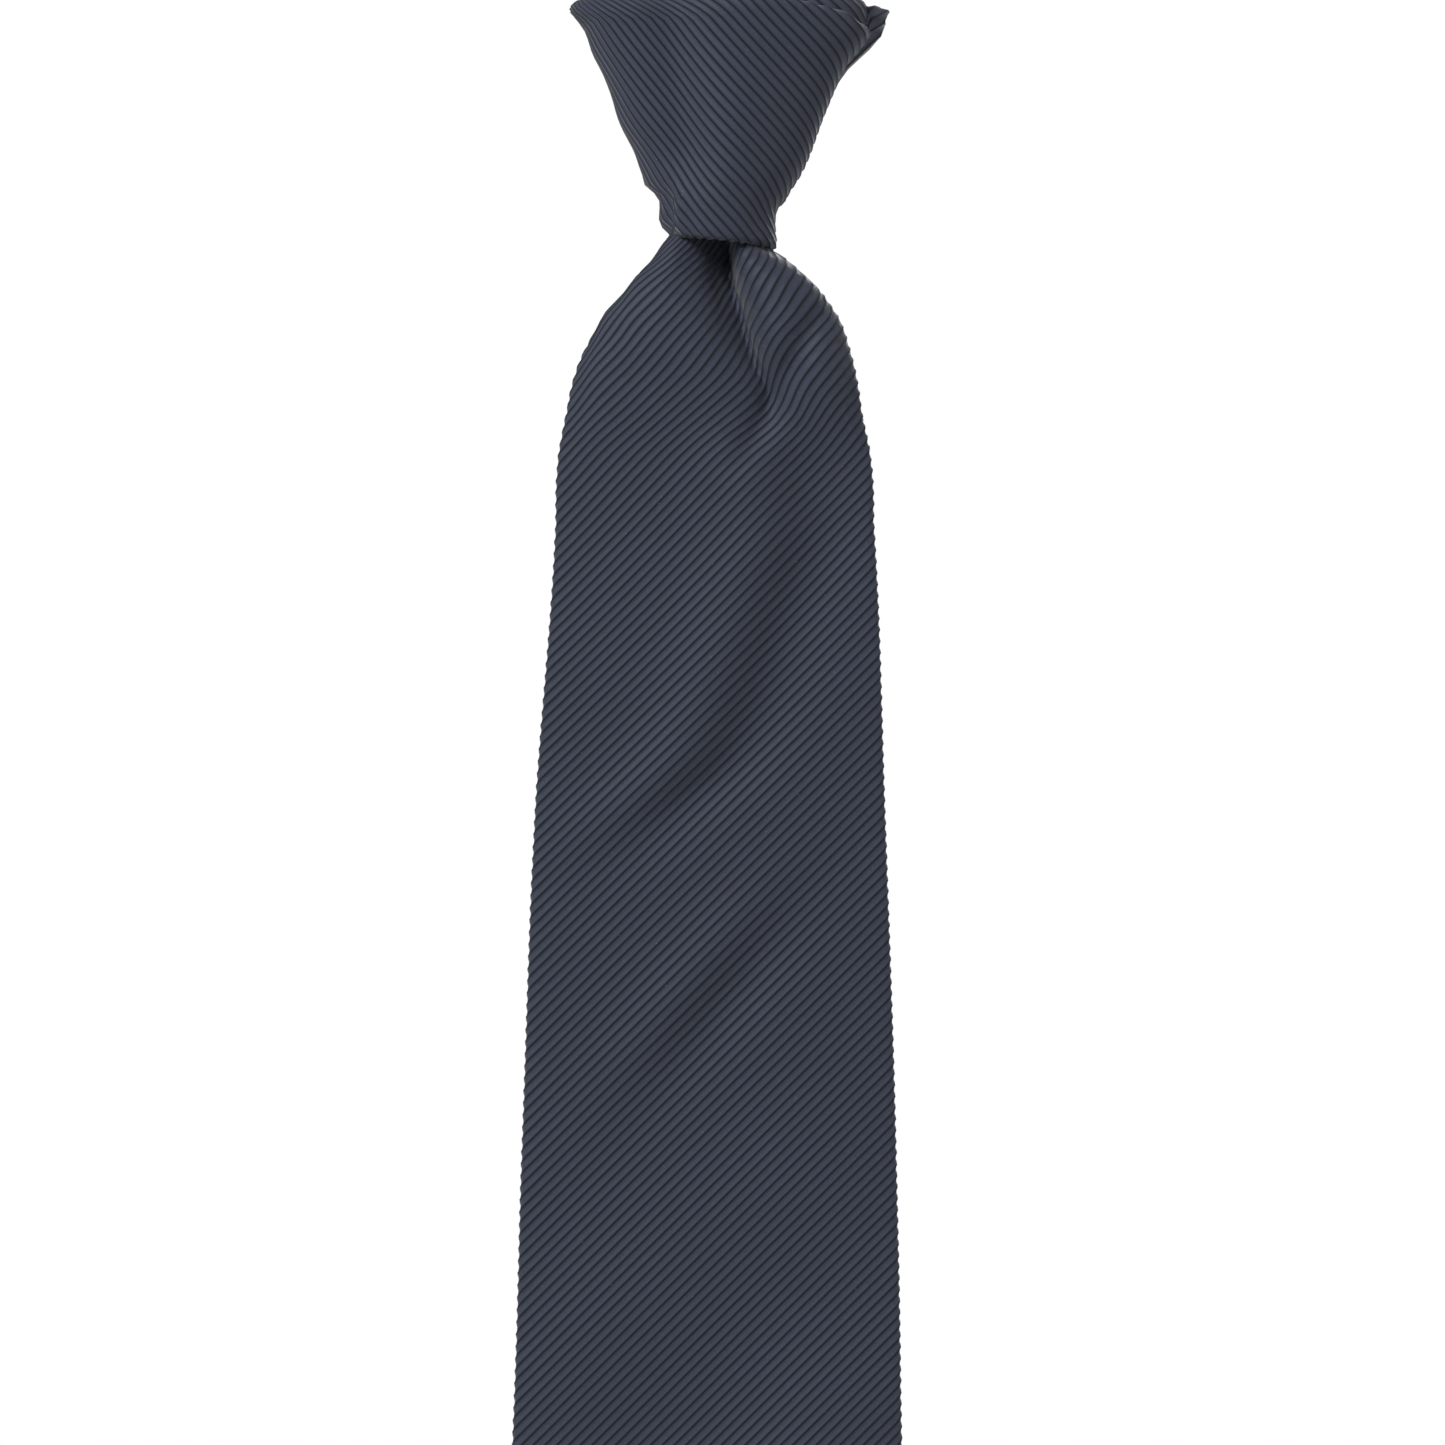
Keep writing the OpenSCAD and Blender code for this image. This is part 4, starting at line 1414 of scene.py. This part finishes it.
throat = ("knot", "front_blade", (0.0, BLADE_FRONT_Y * MM, MOUTH_Z * MM),
          (0.0, BLADE_FRONT_Y * MM, (MOUTH_Z - 40.0) * MM))
strap = ("front_blade", "tail_blade", (0.0, TAIL_FRONT_Y * MM, (MOUTH_Z - 5.0) * MM),
         (0.0, TAIL_FRONT_Y * MM, (MOUTH_Z - 155.0) * MM))
attach(front_blade, ["front_blade_shell", "blade_throat"], throat)
attach(front_interlining, ["front_blade_interlining"], "front_blade")
attach(front_tipping_sheet, ["front_tipping"], "front_blade")
attach(tail_cloth, ["tail_shell", "tail_strap"], strap)
attach(tail_interlining_felt, ["tail_interlining"], strap)
attach(tail_tipping_satin, ["tail_tipping"], "tail_blade")
attach(knot_front, ["knot_front_wrap"], "knot")
attach(knot_back, ["knot_back_wrap"], "knot")
attach(knot_left, ["knot_left_turn"], "knot")
attach(knot_right, ["knot_right_turn"], "knot")
attach(knot_final, ["knot_final_pass"], "knot")
collar = ("neck_loop", "knot", (0.0, -0.058, 0.0), (0.0, -0.076, 0.0))
attach(band_back, ["neck_band_shell"], "neck_loop")
attach(band_right, ["neck_band_shell", "tail_leg"], collar)
attach(band_left, ["neck_band_shell", "blade_leg"], collar)
attach(neck_felt, ["neck_band_interlining"], "neck_loop")
attach(piecing, ["piecing_seams"], "neck_loop")
attach(front_tack, ["front_bar_tack"], "front_blade")
attach(front_slip, ["front_slip_stitch"], "front_blade")
attach(tail_tack, ["tail_bar_tack"], "tail_blade")
attach(tail_slip, ["tail_slip_stitch"], strap)
attach(keeper, ["keeper_loop"], "front_blade")
attach(keeper_thread, ["keeper_stitches"], "front_blade")
attach(label, ["blank_label"], "front_blade")
attach(label_thread, ["label_stitches"], "front_blade")

# ---- floor and light

def soft_box(name, place, aim, size, power):
    lamp = bpy.data.lights.new(name, "AREA")
    lamp.shape = "RECTANGLE"
    lamp.size = size[0]
    lamp.size_y = size[1]
    lamp.energy = power
    holder = bpy.data.objects.new(name, lamp)
    holder.location = place
    holder.rotation_euler = (Vector(aim) - Vector(place)).to_track_quat("-Z", "Y").to_euler()
    scene.collection.objects.link(holder)


middle = (0.0, BLADE_FRONT_Y * MM, VIEW_Z * MM)
soft_box("key", (-0.75, -1.1, 0.72), (0.0, -0.085, -0.1), (0.5, 0.5), 29.0)
soft_box("fill", (1.3, -0.5, 0.1), middle, (0.9, 0.9), 5.0)
soft_box("rim", (0.5, 1.3, 0.35), middle, (0.9, 0.9), 20.0)

world = bpy.data.worlds.new("studio")
scene.world = world
world.use_nodes = True
sky = world.node_tree
background = sky.nodes["Background"]
path = sky.nodes.new("ShaderNodeLightPath")
level = sky.nodes.new("ShaderNodeMapRange")
level.inputs["To Min"].default_value = 0.3
level.inputs["To Max"].default_value = 1.0
sky.links.new(path.outputs["Is Camera Ray"], level.inputs["Value"])
sky.links.new(level.outputs["Result"], background.inputs["Strength"])
background.inputs["Color"].default_value = (1.0, 1.0, 1.0, 1.0)

deselect()
bpy.ops.mesh.primitive_circle_add(vertices=96, radius=0.85, fill_type="NGON",
                                  location=(0.0, 0.0, (MOUTH_Z - BLADE_LEN - 20.0) * MM))
floor = bpy.context.object
floor.name = "floor"
bpy.ops.object.transform_apply(location=True, rotation=True, scale=True)
floor_finish, floor_shader, floor_tool = finish_of("pale_floor")
floor_place = floor_tool.node("ShaderNodeTexCoord", {}, {}, 3)
floor_colour = floor_place.noise(3.0).step(0.2, 0.8).mixed((0.78, 0.78, 0.78, 1.0), (0.83, 0.83, 0.83, 1.0))
wire(floor_tool, floor_shader, floor_colour)
floor.data.materials.append(floor_finish)
